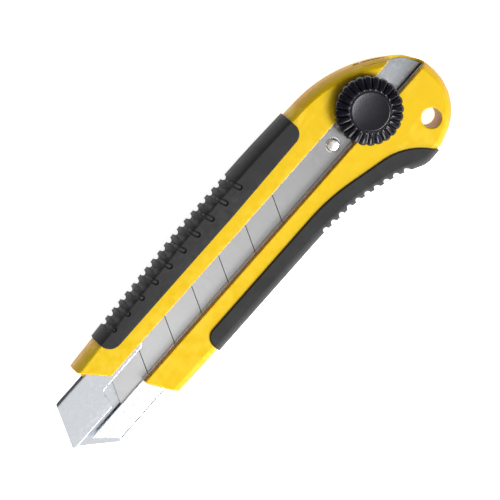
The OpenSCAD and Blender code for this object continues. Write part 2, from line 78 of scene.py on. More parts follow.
MM_PER_M = 1000
TAIL = 193.7
POCKET = 14.15
SEAM = 4.6
TOP = 15.0
LIP_TOP = 10.8
SEAM_EASE = 0.22
SHEATH_FIT = 0.05
RUBBER_INSET = 1.6
REAR_HALF = 100.0
BACK_LIMIT = SEAM - 0.3
FLAT_WEIGHT = 90
HOLD = 0.06
CHUNK = 3000
MERGE = 2e-7
MARGIN = 5.0


def origin_of_knife() -> Tuple[float, float]:
    """Finds where the knife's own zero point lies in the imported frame.

    Returns:
        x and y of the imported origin, in millimetres from the sheath's tip and the centre line.
    """
    low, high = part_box("sheath")
    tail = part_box("handle_body")[1].x * MM_PER_M
    return TAIL - tail, -(low.y + high.y) * MM_PER_M / 2


ORIGIN = origin_of_knife()


def to_frame(points: Array) -> Array:
    """Turns knife coordinates in millimetres into frame coordinates in metres.

    Args:
        points: rows of x, y, z in millimetres.

    Returns:
        The same rows in metres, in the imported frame.
    """
    out = np.array(points, float)
    out[:, 0] -= ORIGIN[0]
    out[:, 1] -= ORIGIN[1]
    return out / MM_PER_M


class Side(Enum):
    """The two long sides of the handle."""

    SPINE = "spine"
    FINGER = "finger"


class Face(Enum):
    """The two faces of the handle."""

    FRONT = "front"
    REAR = "rear"


# ---------------------------------------------------------------- outlines


@dataclass(frozen=True)
class Outline:
    """A closed outline given by its corners, each with the radius that rounds it."""

    corners: Tuple[Corner, ...]

    def ring(self, inset: float = 0.0, step: float = 3.0) -> Array:
        """Rounds the corners and draws the outline in.

        Args:
            inset: how far the outline is drawn in, in millimetres.
            step: the angle of one facet of an arc, in degrees.

        Returns:
            Rows of x, y, anticlockwise.
        """
        c = np.array(self.corners, float)
        n = len(c)
        out: List[Array] = []
        for i in range(n):
            u = c[i, :2] - c[i - 1, :2]
            v = c[(i + 1) % n, :2] - c[i, :2]
            u, v = u / np.linalg.norm(u), v / np.linalg.norm(v)
            turn = math.atan2(u[0] * v[1] - u[1] * v[0], float(u @ v))
            side = 1.0 if turn > 0 else -1.0
            r = max(c[i, 2] - side * inset, 0.02)
            n1, n2 = np.array([u[1], -u[0]]), np.array([v[1], -v[0]])
            q = c[i, :2] - inset * (n1 + n2) / (1 + n1 @ n2)
            a = q - u * (r * math.tan(abs(turn) / 2))
            mid = a + side * r * np.array([-u[1], u[0]])
            start = math.atan2(a[1] - mid[1], a[0] - mid[0])
            steps = max(1, math.ceil(abs(math.degrees(turn)) / step))
            t = start + turn * np.arange(steps + 1) / steps
            out.append(mid + r * np.stack([np.cos(t), np.sin(t)], 1))
        return np.concatenate(out)


def handle_corners() -> Tuple[Corner, ...]:
    """Gives the corners of the handle's outline, with its front squared off ahead of the nose.

    Returns:
        The corners, each with its radius.
    """
    return (
        (TAIL - 68.7, 21.5, 240), (88, 21.5, 240), (10, 17.7, 6), (10, -17.3, 6), (62, -18.4, 100),
        (TAIL - 73.7, -18.5, 90), (TAIL - 55.7, -20.0, 60), (TAIL - 37.7, -25.2, 40),
        (TAIL - 27.7, -30.6, 8), (TAIL - 18.8, -30.6, 9), (TAIL, -24.4, 21), (TAIL, -5, 8),
        (TAIL - 3.7, 2.3, 8), (TAIL - 22.6, 20.0, 55),
    )


HANDLE = Outline(handle_corners())
NOSE = Outline((
    (5, 40, 1), (5, -45, 1), (41.7, -45, 1), (41.7, -17.5, 0.8), (36.3, -6.2, 3), (36.3, -5.1, 0.2),
    (29.8, 5.5, 1), (22.3, 15.9, 1.4), (22.3, 40, 1),
))
SPINE_PAD = Outline((
    (35.7, 40, 1), (35.7, 11.4, 5), (103.9, 11.4, 90), (143.9, 12.1, 4.5), (143.9, 40, 1),
))
FINGER_PAD = Outline((
    (62.9, -11, 4.5), (62.9, -50, 1), (172.6, -50, 1), (172.6, -30.2, 3), (165.5, -19.2, 25),
    (132, -10.9, 80),
))
SHEATH = Outline((
    (0, -1.9, 0.01), (6, -7.4, 8), (13, -14.1, 1), (TAIL - 2.7, -14.1, 0.5), (TAIL - 1.2, -9, 10),
    (TAIL - 1.2, -5.2, 8), (TAIL - 4.3, 2.2, 6), (TAIL - 20.5, 14.1, 1), (8.5, 14.1, 1),
))
SLOT = Outline(((-8, -5, 0.1), (TAIL + 8, -5, 0.1), (TAIL + 8, 5.9, 0.1), (-8, 5.9, 0.1)))


def inside(points: Array, ring: Array) -> Array:
    """Tells which points lie inside a closed ring.

    Args:
        points: rows of x, y.
        ring: rows of x, y round the ring.

    Returns:
        A boolean for each point.
    """
    x, y = points[:, 0:1], points[:, 1:2]
    a, b = ring, np.roll(ring, -1, 0)
    crosses = (a[:, 1] > y) != (b[:, 1] > y)
    with np.errstate(divide="ignore", invalid="ignore"):
        at = a[:, 0] + (y - a[:, 1]) * (b[:, 0] - a[:, 0]) / (b[:, 1] - a[:, 1])
    return (crosses & (x < at)).sum(1) % 2 == 1


def distance(points: Array, line: Array, closed: bool = True) -> Array:
    """Measures how far points are from a line of straight pieces.

    Args:
        points: rows of x, y.
        line: rows of x, y along the line.
        closed: whether the last point joins the first.

    Returns:
        The distance of each point.
    """
    a = line if closed else line[:-1]
    b = np.roll(line, -1, 0) if closed else line[1:]
    d = b - a
    length = np.maximum((d**2).sum(1), 1e-12)
    out = np.empty(len(points))
    for k in range(0, len(points), CHUNK):
        p = points[k:k + CHUNK, None, :]
        t = np.clip(((p - a) * d).sum(2) / length, 0, 1)
        out[k:k + CHUNK] = np.sqrt((((a + t[..., None] * d) - p) ** 2).sum(2).min(1))
    return out


def depth_in(points: Array, ring: Array) -> Array:
    """Measures how deep points lie inside a ring; outside it the answer is negative."""
    return distance(points, ring) * np.where(inside(points, ring), 1.0, -1.0)


def circle(x: float, y: float, r: float, n: int) -> Array:
    """Gives points evenly round a circle.

    Args:
        x: x of the middle.
        y: y of the middle.
        r: the radius.
        n: the number of points.

    Returns:
        Rows of x, y, anticlockwise.
    """
    turn = np.linspace(0, 2 * math.pi, n + 1)[:-1]
    return np.stack([x + r * np.cos(turn), y + r * np.sin(turn)], 1)


def lengthwise(y: float, start: float = -MARGIN, end: float = TAIL + MARGIN) -> Array:
    """Gives a straight line along the knife at a given y."""
    return np.array([[start, y], [end, y]])


def fillet(d: Array, r: Union[float, Array]) -> Array:
    """Gives the drop of a rounded edge of radius r at a distance d inside the edge."""
    s = r - np.clip(d, 0, r)
    return r - np.sqrt(np.maximum(r * r - s * s, 0))


def fillet_steps(r: float, n: int = 4) -> List[float]:
    """Gives the distances at which a rounded edge is cut into strips, with one strip more to hold it."""
    return [r * (1 - math.cos(math.pi / 2 * k / n)) for k in range(1, n + 1)] + [r + HOLD]


# ---------------------------------------------------------------- meshes


def place_object(name: str, data: bpy.types.ID) -> bpy.types.Object:
    """Adds an object at the origin to the scene.

    Args:
        name: the object's name.
        data: its mesh, lamp or camera.

    Returns:
        The new object.
    """
    obj = bpy.data.objects.new(name, data)
    bpy.context.scene.collection.objects.link(obj)
    return obj


def face_out(obj: bpy.types.Object) -> None:
    """Turns all the faces of a closed mesh outwards.

    Args:
        obj: the object whose mesh is set right.
    """
    bm = bmesh.new()
    bm.from_mesh(obj.data)
    bmesh.ops.recalc_face_normals(bm, faces=bm.faces)
    bm.to_mesh(obj.data)
    bm.free()


def new_object(name: str, verts: Array, faces: Sequence[Sequence[int]],
               sharp: float = 38.0) -> bpy.types.Object:
    """Makes a mesh object at the origin, smooth except at its sharp edges.

    Args:
        name: the object's name.
        verts: rows of x, y, z in knife millimetres.
        faces: vertex numbers of each face.
        sharp: the angle in degrees above which an edge stays sharp.

    Returns:
        The new object.
    """
    mesh = bpy.data.meshes.new(name)
    mesh.from_pydata(to_frame(verts).tolist(), [], [list(f) for f in faces])
    bm = bmesh.new()
    bm.from_mesh(mesh)
    bmesh.ops.remove_doubles(bm, verts=bm.verts, dist=MERGE)
    bmesh.ops.dissolve_degenerate(bm, edges=bm.edges, dist=1e-7)
    bmesh.ops.triangulate(bm, faces=[f for f in bm.faces if len(f.verts) > 4])
    bm.to_mesh(mesh)
    bm.free()
    mesh.shade_smooth()
    mesh.set_sharp_from_angle(angle=math.radians(sharp))
    return place_object(name, mesh)


def join(name: str, parts: Sequence[bpy.types.Object]) -> bpy.types.Object:
    """Joins several objects of one body into one, keeping their materials.

    Args:
        name: the name of the joined object.
        parts: the objects, all with their place in their mesh.

    Returns:
        The joined object.
    """
    bm = bmesh.new()
    slots: List[bpy.types.Material] = []
    for part in parts:
        start = len(bm.faces)
        bm.from_mesh(part.data)
        bm.faces.ensure_lookup_table()
        own = list(part.data.materials)
        for material in own:
            if material not in slots:
                slots.append(material)
        for f in bm.faces[start:]:
            f.material_index = slots.index(own[f.material_index]) if own else 0
    mesh = bpy.data.meshes.new(name)
    bm.to_mesh(mesh)
    bm.free()
    for material in slots:
        mesh.materials.append(material)
    for part in parts:
        bpy.data.objects.remove(part)
    return place_object(name, mesh)


@dataclass
class Slab:
    """A solid between two height fields over a flat plan, with upright walls where the plan ends.

    The plan is cut along every line given to it, and each triangle is put in a zone. A zone has its own
    height above and below, so a step between two zones gets a wall of its own.
    """

    lines: List[Array] = field(default_factory=list)
    open_lines: List[Array] = field(default_factory=list)

    def cut(self, *rings: Array) -> None:
        """Adds closed lines along which the plan is cut."""
        self.lines.extend(rings)

    def cut_open(self, *lines: Array) -> None:
        """Adds open lines along which the plan is cut."""
        self.open_lines.extend(lines)

    def triangles(self) -> Tuple[Array, Array]:
        """Cuts the plan into triangles along all its lines.

        Returns:
            The corner points and the triangles, as vertex numbers.
        """
        points: List[Vector] = []
        edges: List[Tuple[int, int]] = []
        for closed, group in ((True, self.lines), (False, self.open_lines)):
            for line in group:
                base = len(points)
                points += [Vector((float(x), float(y))) for x, y in line]
                edges += [(base + i, base + i + 1) for i in range(len(line) - 1)]
                if closed:
                    edges.append((base + len(line) - 1, base))
        v, _, f, *_ = delaunay_2d_cdt(points, edges, [], 0, 1e-4)
        return np.array([[p.x, p.y] for p in v]), np.array([list(t) for t in f], int)

    def build(self, name: str, zone: Callable[[Array], Array], top: Dict[int, Height],
              under: Dict[int, Height], sharp: float = 38.0) -> bpy.types.Object:
        """Raises the plan to a closed mesh.

        Args:
            name: the object's name.
            zone: gives a zone number for each point of the plan, below zero where there is nothing.
            top: height of the upper face in each zone.
            under: height of the lower face in each zone.
            sharp: the angle in degrees above which an edge stays sharp.

        Returns:
            The finished object.
        """
        pts, tris = self.triangles()
        a, b, c = pts[tris[:, 0]], pts[tris[:, 1]], pts[tris[:, 2]]
        area = (b[:, 0] - a[:, 0]) * (c[:, 1] - a[:, 1]) - (b[:, 1] - a[:, 1]) * (c[:, 0] - a[:, 0])
        tris[area < 0] = tris[area < 0][:, ::-1]
        z = zone((a + b + c) / 3)
        keep = (z >= 0) & (abs(area) > 1e-7)
        tris, z = tris[keep], z[keep]
        high: Dict[int, Array] = {}
        low: Dict[int, Array] = {}
        levels: List[set] = [set() for _ in range(len(pts))]
        for k in sorted(set(z.tolist())):
            used = np.unique(tris[z == k])
            high[k], low[k] = np.full(len(pts), np.nan), np.full(len(pts), np.nan)
            high[k][used] = np.round(top[k](pts[used]), 5)
            low[k][used] = np.round(under[k](pts[used]), 5)
            for i in used:
                levels[i] |= {high[k][i], low[k][i]}
        index: Dict[Tuple[int, float], int] = {}
        verts: List[Tuple[float, float, float]] = []

        def vertex(i: int, h: float) -> int:
            """Gives the vertex over a point of the plan at a height, adding it if it is new.

            Args:
                i: the plan's point.
                h: the height.

            Returns:
                The vertex number.
            """
            key = (i, h)
            if key not in index:
                index[key] = len(verts)
                verts.append((pts[i, 0], pts[i, 1], h))
            return index[key]

        def column(i: int, h0: float, h1: float) -> List[int]:
            """Gives the vertices over a point of the plan from one height to another."""
            between = sorted(h for h in levels[i] if min(h0, h1) <= h <= max(h0, h1))
            return [vertex(i, h) for h in (between if h0 < h1 else between[::-1])]

        faces: List[List[int]] = []
        owner: Dict[Tuple[int, int], int] = {}
        for t, k in zip(tris.tolist(), z.tolist()):
            faces.append([vertex(i, high[k][i]) for i in t])
            faces.append([vertex(i, low[k][i]) for i in t[::-1]])
            for i in range(3):
                owner[(t[i], t[(i + 1) % 3])] = k
        for (i, j), k in owner.items():
            other = owner.get((j, i))
            if other is None:
                loop = column(i, high[k][i], low[k][i]) + column(j, low[k][j], high[k][j])
                self._wall(faces, loop)
            elif other != k:
                if high[k][i] + high[k][j] > high[other][i] + high[other][j] + 1e-9:
                    self._wall(faces, column(i, high[k][i], high[other][i])
                               + column(j, high[other][j], high[k][j]))
                if low[k][i] + low[k][j] < low[other][i] + low[other][j] - 1e-9:
                    self._wall(faces, column(i, low[other][i], low[k][i])
                               + column(j, low[k][j], low[other][j]))
        return new_object(name, np.array(verts), faces, sharp)

    @staticmethod
    def _wall(faces: List[List[int]], loop: List[int]) -> None:
        """Adds a wall, leaving out points that it would visit twice.

        Args:
            faces: the list that the wall joins.
            loop: vertex numbers round the wall.
        """
        clean = [v for n, v in enumerate(loop) if v != loop[n - 1]]
        if len(set(clean)) > 2:
            faces.append(clean)


def constant(value: float) -> Height:
    """Gives a height field that is level."""
    return lambda p: np.full(len(p), value)


def lathe(name: str, profile: Sequence[Tuple[float, float]], centre: Tuple[float, float],
          segments: int = 96, sharp: float = 38.0) -> bpy.types.Object:
    """Turns a closed or axis-to-axis profile round an upright axis.

    Args:
        name: the object's name.
        profile: radius and height of each point, going round the section with the metal on its right.
        centre: x and y of the axis.
        segments: number of steps round the axis.
        sharp: the angle above which an edge stays sharp.

    Returns:
        The turned object.
    """
    t = 2 * math.pi * np.arange(segments) / segments
    verts: List[Tuple[float, float, float]] = []
    rows: List[List[int]] = []
    for r, z in profile:
        if r < 1e-6:
            rows.append([len(verts)] * segments)
            verts.append((centre[0], centre[1], z))
        else:
            rows.append(list(range(len(verts), len(verts) + segments)))
            verts += [(centre[0] + r * c, centre[1] + r * s, z) for c, s in zip(np.cos(t), np.sin(t))]
    faces: List[List[int]] = []
    closed = profile[0][0] > 1e-6
    for k in range(len(rows) if closed else len(rows) - 1):
        a, b = rows[k], rows[(k + 1) % len(rows)]
        for i in range(segments):
            j = (i + 1) % segments
            quad = [a[i], a[j], b[j], b[i]]
            quad = [v for n, v in enumerate(quad) if v != quad[n - 1]]
            if len(quad) > 2:
                faces.append(quad)
    obj = new_object(name, np.array(verts), faces, sharp)
    face_out(obj)
    return obj


# ---------------------------------------------------------------- finishes


class Tree:
    """A small helper that places and joins nodes in a node tree."""

    def __init__(self, nodes_of: bpy.types.NodeTree) -> None:
        """Keeps the tree that it works on."""
        self.tree = nodes_of
        self.column = 0

    def add(self, kind: str, settings: Optional[dict] = None, **inputs: object) -> bpy.types.Node:
        """Adds a node.

        Args:
            kind: the node's type name.
            settings: properties set on the node.
            inputs: values or sockets for its inputs, by name with _ for a space; n0, n1 by number.

        Returns:
            The new node.
        """
        node = self.tree.nodes.new(kind)
        self.column += 1
        node.location = (self.column * 60, -(self.column % 7) * 120)
        for key, value in (settings or {}).items():
            setattr(node, key, value)
        for key, value in inputs.items():
            socket = node.inputs[int(key[1:])] if key[0] == "n" and key[1:].isdigit() else None
            if socket is None:
                socket = next(s for s in node.inputs if s.name == key.replace("_", " ") and s.enabled)
            if isinstance(value, bpy.types.NodeSocket):
                self.tree.links.new(value, socket)
            else:
                socket.default_value = value
        return node

    def math(self, operation: str, a: object, b: object = 0.0, clamp: bool = False) -> bpy.types.NodeSocket:
        """Adds a Math node and gives its result."""
        node = self.add("ShaderNodeMath", {"operation": operation, "use_clamp": clamp}, n0=a, n1=b)
        return node.outputs[0]

    def mix(self, factor: object, a: object, b: object) -> bpy.types.NodeSocket:
        """Mixes two colours and gives the result.

        Args:
            factor: how much of the second colour, as a value or a socket.
            a: the first colour.
            b: the second colour.

        Returns:
            The mixed colour's socket.
        """
        node = self.add("ShaderNodeMix", {"data_type": "RGBA", "clamp_factor": True})
        for socket, value in ((node.inputs[0], factor), (node.inputs[6], a), (node.inputs[7], b)):
            if isinstance(value, bpy.types.NodeSocket):
                self.tree.links.new(value, socket)
            else:
                socket.default_value = value
        return node.outputs[2]

    def ramp(self, value: object, low: float, high: float, a: float = 0.0,
             b: float = 1.0) -> bpy.types.NodeSocket:
        """Stretches a value between two limits and clamps it."""
        node = self.add("ShaderNodeMapRange", {"clamp": True}, n0=value, n1=low, n2=high, n3=a, n4=b)
        return node.outputs[0]


def rgba(colour: Sequence[float]) -> Tuple[float, float, float, float]:
    """Adds a full alpha to a colour."""
    return (colour[0], colour[1], colour[2], 1.0)


class Effects:
    """Shader node groups that several finishes share, each built once."""

    _made: Dict[str, bpy.types.NodeTree] = {}

    @classmethod
    def _start(cls, name: str, inputs: Sequence[Tuple[str, str, object]],
               outputs: Sequence[Tuple[str, str]]) -> Optional[bpy.types.NodeTree]:
        """Makes an empty group with its sockets.

        Args:
            name: the group's name.
            inputs: name, socket type and default of each input.
            outputs: name and socket type of each output.

        Returns:
            The new group.
        """
        tree = bpy.data.node_groups.new(name, "ShaderNodeTree")
        for label, kind, default in inputs:
            socket = tree.interface.new_socket(label, in_out="INPUT", socket_type=kind)
            if default is not None:
                socket.default_value = default
        for label, kind in outputs:
            tree.interface.new_socket(label, in_out="OUTPUT", socket_type=kind)
        cls._made[name] = tree
        return tree

    @classmethod
    def grain(cls) -> bpy.types.NodeTree:
        """Gives the group for the fine grain of a mould, as a height and a mask of blotches.

        Returns:
            The group, with outputs Height and Blotch.
        """
        if "moulded_grain" in cls._made:
            return cls._made["moulded_grain"]
        tree = cls._start("moulded_grain", [("Position", "NodeSocketVector", None),
                                            ("Grain Size", "NodeSocketFloat", 3000.0),
                                            ("Blotch Size", "NodeSocketFloat", 90.0)],
                          [("Height", "NodeSocketFloat"), ("Blotch", "NodeSocketFloat")])
        t = Tree(tree)
        put, out = t.add("NodeGroupInput"), t.add("NodeGroupOutput")
        fine = t.add("ShaderNodeTexNoise", {"noise_dimensions": "3D"}, Vector=put.outputs[0],
                     Scale=put.outputs[1], Detail=2.0, Roughness=0.6)
        cell = t.add("ShaderNodeTexVoronoi", {"feature": "F1"}, Vector=put.outputs[0],
                     Scale=t.math("MULTIPLY", put.outputs[1], 0.55))
        height = t.math("ADD", t.math("MULTIPLY", fine.outputs[0], 0.6),
                        t.math("MULTIPLY", cell.outputs["Distance"], 0.5))
        blotch = t.add("ShaderNodeTexNoise", {}, Vector=put.outputs[0], Scale=put.outputs[2], Detail=3.0,
                       Roughness=0.55)
        tree.links.new(height, out.inputs[0])
        tree.links.new(t.ramp(blotch.outputs[0], 0.3, 0.7), out.inputs[1])
        return tree

    @classmethod
    def drawn(cls) -> bpy.types.NodeTree:
        """Gives the group for long fine lines left by rolling and brushing along the knife.

        Returns:
            The group, with outputs Lines and Scratches.
        """
        if "drawn_lines" in cls._made:
            return cls._made["drawn_lines"]
        tree = cls._start("drawn_lines", [("Position", "NodeSocketVector", None),
                                          ("Angle", "NodeSocketFloat", 0.0),
                                          ("Fineness", "NodeSocketFloat", 4000.0),
                                          ("Stretch", "NodeSocketFloat", 0.02)],
                          [("Lines", "NodeSocketFloat"), ("Scratches", "NodeSocketFloat")])
        t = Tree(tree)
        put, out = t.add("NodeGroupInput"), t.add("NodeGroupOutput")
        turned = t.add("ShaderNodeVectorRotate", {"rotation_type": "Z_AXIS"}, Vector=put.outputs[0],
                       Angle=put.outputs[1])
        scale = t.add("ShaderNodeCombineXYZ", {}, n0=put.outputs[3], n1=1.0, n2=1.0)
        laid = t.add("ShaderNodeVectorMath", {"operation": "MULTIPLY"}, n0=turned.outputs[0],
                     n1=scale.outputs[0])
        lines = t.add("ShaderNodeTexNoise", {}, Vector=laid.outputs[0], Scale=put.outputs[2], Detail=4.0,
                      Roughness=0.7)
        few = t.add("ShaderNodeTexNoise", {}, Vector=laid.outputs[0],
                    Scale=t.math("MULTIPLY", put.outputs[2], 0.31), Detail=1.0)
        tree.links.new(lines.outputs[0], out.inputs[0])
        tree.links.new(t.ramp(few.outputs[0], 0.66, 0.72), out.inputs[1])
        return tree

    @classmethod
    def wear(cls) -> bpy.types.NodeTree:
        """Gives the group for edges rubbed smooth and light, broken up by a noise.

        Returns:
            The group, with the output Mask.
        """
        if "edge_wear" in cls._made:
            return cls._made["edge_wear"]
        tree = cls._start("edge_wear", [("Position", "NodeSocketVector", None),
                                        ("Amount", "NodeSocketFloat", 0.5),
                                        ("Patch Size", "NodeSocketFloat", 300.0)],
                          [("Mask", "NodeSocketFloat")])
        t = Tree(tree)
        put, out = t.add("NodeGroupInput"), t.add("NodeGroupOutput")
        shape = t.add("ShaderNodeNewGeometry")
        edge = t.ramp(shape.outputs["Pointiness"], 0.51, 0.56)
        patch = t.add("ShaderNodeTexNoise", {}, Vector=put.outputs[0], Scale=put.outputs[2], Detail=3.0)
        mask = t.math("MULTIPLY", edge, t.ramp(patch.outputs[0], 0.35, 0.6))
        tree.links.new(t.math("MULTIPLY", mask, put.outputs[1], True), out.inputs[0])
        return tree

    @classmethod
    def spangle(cls) -> bpy.types.NodeTree:
        """Gives the group for the mottled, faintly crystalline face of pickled stainless sheet.

        Returns:
            The group, with outputs Patches and Height.
        """
        if "mottle" in cls._made:
            return cls._made["mottle"]
        tree = cls._start("mottle", [("Position", "NodeSocketVector", None),
                                     ("Size", "NodeSocketFloat", 700.0)],
                          [("Patches", "NodeSocketFloat"), ("Height", "NodeSocketFloat")])
        t = Tree(tree)
        put, out = t.add("NodeGroupInput"), t.add("NodeGroupOutput")
        noise = t.add("ShaderNodeTexNoise", {}, Vector=put.outputs[0], Scale=put.outputs[1], Detail=5.0,
                      Roughness=0.62, Distortion=0.4)
        cell = t.add("ShaderNodeTexVoronoi", {"feature": "SMOOTH_F1"}, Vector=put.outputs[0],
                     Scale=t.math("MULTIPLY", put.outputs[1], 1.3))
        both = t.math("ADD", t.math("MULTIPLY", noise.outputs[0], 0.7),
                      t.math("MULTIPLY", cell.outputs["Distance"], 0.4))
        tree.links.new(t.ramp(both, 0.35, 0.75), out.inputs[0])
        tree.links.new(both, out.inputs[1])
        return tree


@dataclass(frozen=True)
class Finish:
    """What every finish has: its name, its colour and its gloss."""

    name: str
    colour: Tuple[float, float, float]
    roughness: float

    def start(self) -> Tuple[Tree, bpy.types.Node, bpy.types.Material]:
        """Makes a material with a Principled shader.

        Returns:
            The tree helper, the shader and the material.
        """
        material = bpy.data.materials.new(self.name)
        material.use_nodes = True
        material.diffuse_color = rgba(self.colour)
        t = Tree(material.node_tree)
        shader = material.node_tree.nodes["Principled BSDF"]
        shader.inputs["Roughness"].default_value = self.roughness
        shader.inputs["Base Color"].default_value = rgba(self.colour)
        return t, shader, material

    @staticmethod
    def group(t: Tree, tree: bpy.types.NodeTree, **inputs: object) -> bpy.types.Node:
        """Places a shared group in a material, fed with the piece's own coordinates."""
        where = t.add("ShaderNodeTexCoord")
        return t.add("ShaderNodeGroup", {"node_tree": tree}, Position=where.outputs["Object"], **inputs)

    @staticmethod
    def bump(t: Tree, shader: bpy.types.Node, height: bpy.types.NodeSocket, depth: float,
             strength: float = 1.0) -> None:
        """Feeds a height to the shader's normal through a Bump node."""
        node = t.add("ShaderNodeBump", {}, Strength=strength, Distance=depth, Height=height)
        t.tree.links.new(node.outputs[0], shader.inputs["Normal"])


@dataclass(frozen=True)
class MouldedPlastic(Finish):
    """Hard moulded plastic: fine mould grain, edges rubbed a little lighter, optional painted shade on
    grazing faces.
    """

    shade: Tuple[float, float, float] = (0.5, 0.3, 0.0)
    worn: Tuple[float, float, float] = (1.0, 1.0, 1.0)
    grain: float = 3000.0
    blotch: float = 70.0
    patch: float = 260.0
    relief: float = 0.00002
    wear: float = 0.3
    gloss: float = 0.5
    glow: float = 0.0
    glow_reach: float = 0.0016
    blotch_share: float = 0.3
    rough_span: Tuple[float, float] = (-0.04, 0.06)
    worn_gain: float = 0.1
    # painted shade: deep is a darker, redder colour mixed into faces seen at a grazing angle, up to this
    # share
    deep_share: float = 0.85
    deep: Optional[Tuple[float, float, float]] = None

    def material(self) -> bpy.types.Material:
        """Builds the finish as a material.

        Returns:
            The material.
        """
        t, shader, material = self.start()
        grain = self.group(t, Effects.grain(), Grain_Size=self.grain, Blotch_Size=self.blotch)
        wear = self.group(t, Effects.wear(), Amount=self.wear, Patch_Size=self.patch)
        shader.inputs["Specular IOR Level"].default_value = self.gloss
        shader.inputs["Subsurface Weight"].default_value = self.glow
        shader.inputs["Subsurface Radius"].default_value = (1.0, 0.45, 0.1)
        shader.inputs["Subsurface Scale"].default_value = self.glow_reach
        blotch = t.math("MULTIPLY", grain.outputs[1], self.blotch_share)
        base = t.mix(blotch, rgba(self.colour), rgba(self.shade))
        # painted shade: faces turned away from the camera are mixed towards the deep colour, whatever the
        # lamps do
        if self.deep is not None:
            facing = t.add("ShaderNodeLayerWeight", {}, Blend=0.5)
            turned = t.ramp(facing.outputs["Facing"], 0.25, 0.75, 0.0, self.deep_share)
            base = t.mix(turned, base, rgba(self.deep))
        colour = t.mix(wear.outputs[0], base, rgba(self.worn))
        t.tree.links.new(colour, shader.inputs["Base Color"])
        rough = t.ramp(grain.outputs[1], 0.0, 1.0, *[self.roughness + d for d in self.rough_span])
        t.tree.links.new(t.math("SUBTRACT", rough, t.math("MULTIPLY", wear.outputs[0], self.worn_gain)),
                         shader.inputs["Roughness"])
        self.bump(t, shader, grain.outputs[0], self.relief)
        return material


@dataclass(frozen=True)
class GripRubber(Finish):
    """Soft moulded rubber: matt, with a bloom of lighter grey and a dusty sheen."""

    bloom: Tuple[float, float, float] = (0.1, 0.1, 0.1)
    worn: Tuple[float, float, float] = (0.06, 0.06, 0.063)
    grain: float = 2200.0
    blotch: float = 120.0
    relief: float = 0.00003
    wear: float = 0.35
    patch: float = 400.0
    gloss: float = 0.28
    blotch_share: float = 0.5
    rough_span: Tuple[float, float] = (-0.05, 0.08)
    sheen: float = 0.03
    sheen_roughness: float = 0.6

    def material(self) -> bpy.types.Material:
        """Builds the finish as a material.

        Returns:
            The material.
        """
        t, shader, material = self.start()
        grain = self.group(t, Effects.grain(), Grain_Size=self.grain, Blotch_Size=self.blotch)
        wear = self.group(t, Effects.wear(), Amount=self.wear, Patch_Size=self.patch)
        blotch = t.math("MULTIPLY", grain.outputs[1], self.blotch_share)
        base = t.mix(blotch, rgba(self.colour), rgba(self.bloom))
        t.tree.links.new(t.mix(wear.outputs[0], base, rgba(self.worn)), shader.inputs["Base Color"])
        rough = t.ramp(grain.outputs[1], 0.0, 1.0, *[self.roughness + d for d in self.rough_span])
        t.tree.links.new(rough, shader.inputs["Roughness"])
        shader.inputs["Specular IOR Level"].default_value = self.gloss
        shader.inputs["Sheen Weight"].default_value = self.sheen
        shader.inputs["Sheen Roughness"].default_value = self.sheen_roughness
        self.bump(t, shader, grain.outputs[0], self.relief)
        return material


@dataclass(frozen=True)
class SheetSteel(Finish):
    """Bare steel with rolling lines, a mottled skin and fine scratches."""

    dull: Tuple[float, float, float] = (0.5, 0.5, 0.5)
    lines: float = 3500.0
    angle: float = 0.0
    mottle: float = 0.5
    relief: float = 0.000004
    # darkening towards the tail: on the sheath a painted reflection of the black wheel, on the blade only
    # darker towards its tail
    oil: float = 0.0
    oil_span: Tuple[float, float] = (-0.045, 0.06)
    oil_shade: float = 0.25
    stretch: float = 0.03
    spots: float = 650.0
    scratch: float = 0.012
    rough_span: Tuple[float, float] = (-0.05, 0.05)

    def material(self) -> bpy.types.Material:
        """Builds the finish as a material.

        Returns:
            The material.
        """
        t, shader, material = self.start()
        shader.inputs["Metallic"].default_value = 1.0
        lines = self.group(t, Effects.drawn(), Angle=self.angle, Fineness=self.lines, Stretch=self.stretch)
        spots = self.group(t, Effects.spangle(), Size=self.spots)
        tone = t.math("ADD", t.math("MULTIPLY", lines.outputs[0], 1.0 - self.mottle),
                      t.math("MULTIPLY", spots.outputs[0], self.mottle))
        base = t.mix(t.ramp(tone, 0.25, 0.75), rgba(self.colour), rgba(self.dull))
        # darker towards the tail along x; on the sheath this is a painted reflection of the black wheel
        if self.oil > 0:
            where = t.add("ShaderNodeTexCoord")
            along = t.add("ShaderNodeSeparateXYZ", {}, n0=where.outputs["Object"])
            film = t.ramp(along.outputs[0], self.oil_span[0], self.oil_span[1], 0.0, self.oil)
            base = t.mix(film, base, rgba(tuple(c * self.oil_shade for c in self.dull)))
        t.tree.links.new(base, shader.inputs["Base Color"])
        rough = t.ramp(tone, 0.2, 0.8, *[self.roughness + d for d in self.rough_span])
        t.tree.links.new(t.math("ADD", rough, t.math("MULTIPLY", lines.outputs[1], self.scratch)),
                         shader.inputs["Roughness"])
        height = t.math("ADD", t.math("MULTIPLY", lines.outputs[0], 1.0 - self.mottle),
                        t.math("MULTIPLY", spots.outputs[1], self.mottle * 2))
        self.bump(t, shader, height, self.relief)
        return material


@dataclass(frozen=True)
class FloorPaint(Finish):
    """The pale, faintly uneven sheet that the knife lies on, which glows a little."""

    glow: float = 0.95
    unevenness: float = 0.985
    patch: float = 9.0

    def material(self) -> bpy.types.Material:
        """Builds the finish as a material.

        Returns:
            The material.
        """
        t, shader, material = self.start()
        where = t.add("ShaderNodeTexCoord")
        noise = t.add("ShaderNodeTexNoise", {}, Vector=where.outputs["Object"], Scale=self.patch,
                      Detail=3.0)
        tint = tuple(c * self.unevenness for c in self.colour)
        base = t.mix(noise.outputs[0], rgba(self.colour), rgba(tint))
        t.tree.links.new(base, shader.inputs["Base Color"])
        shader.inputs["Emission Color"].default_value = rgba(self.colour)
        shader.inputs["Emission Strength"].default_value = self.glow
        return material


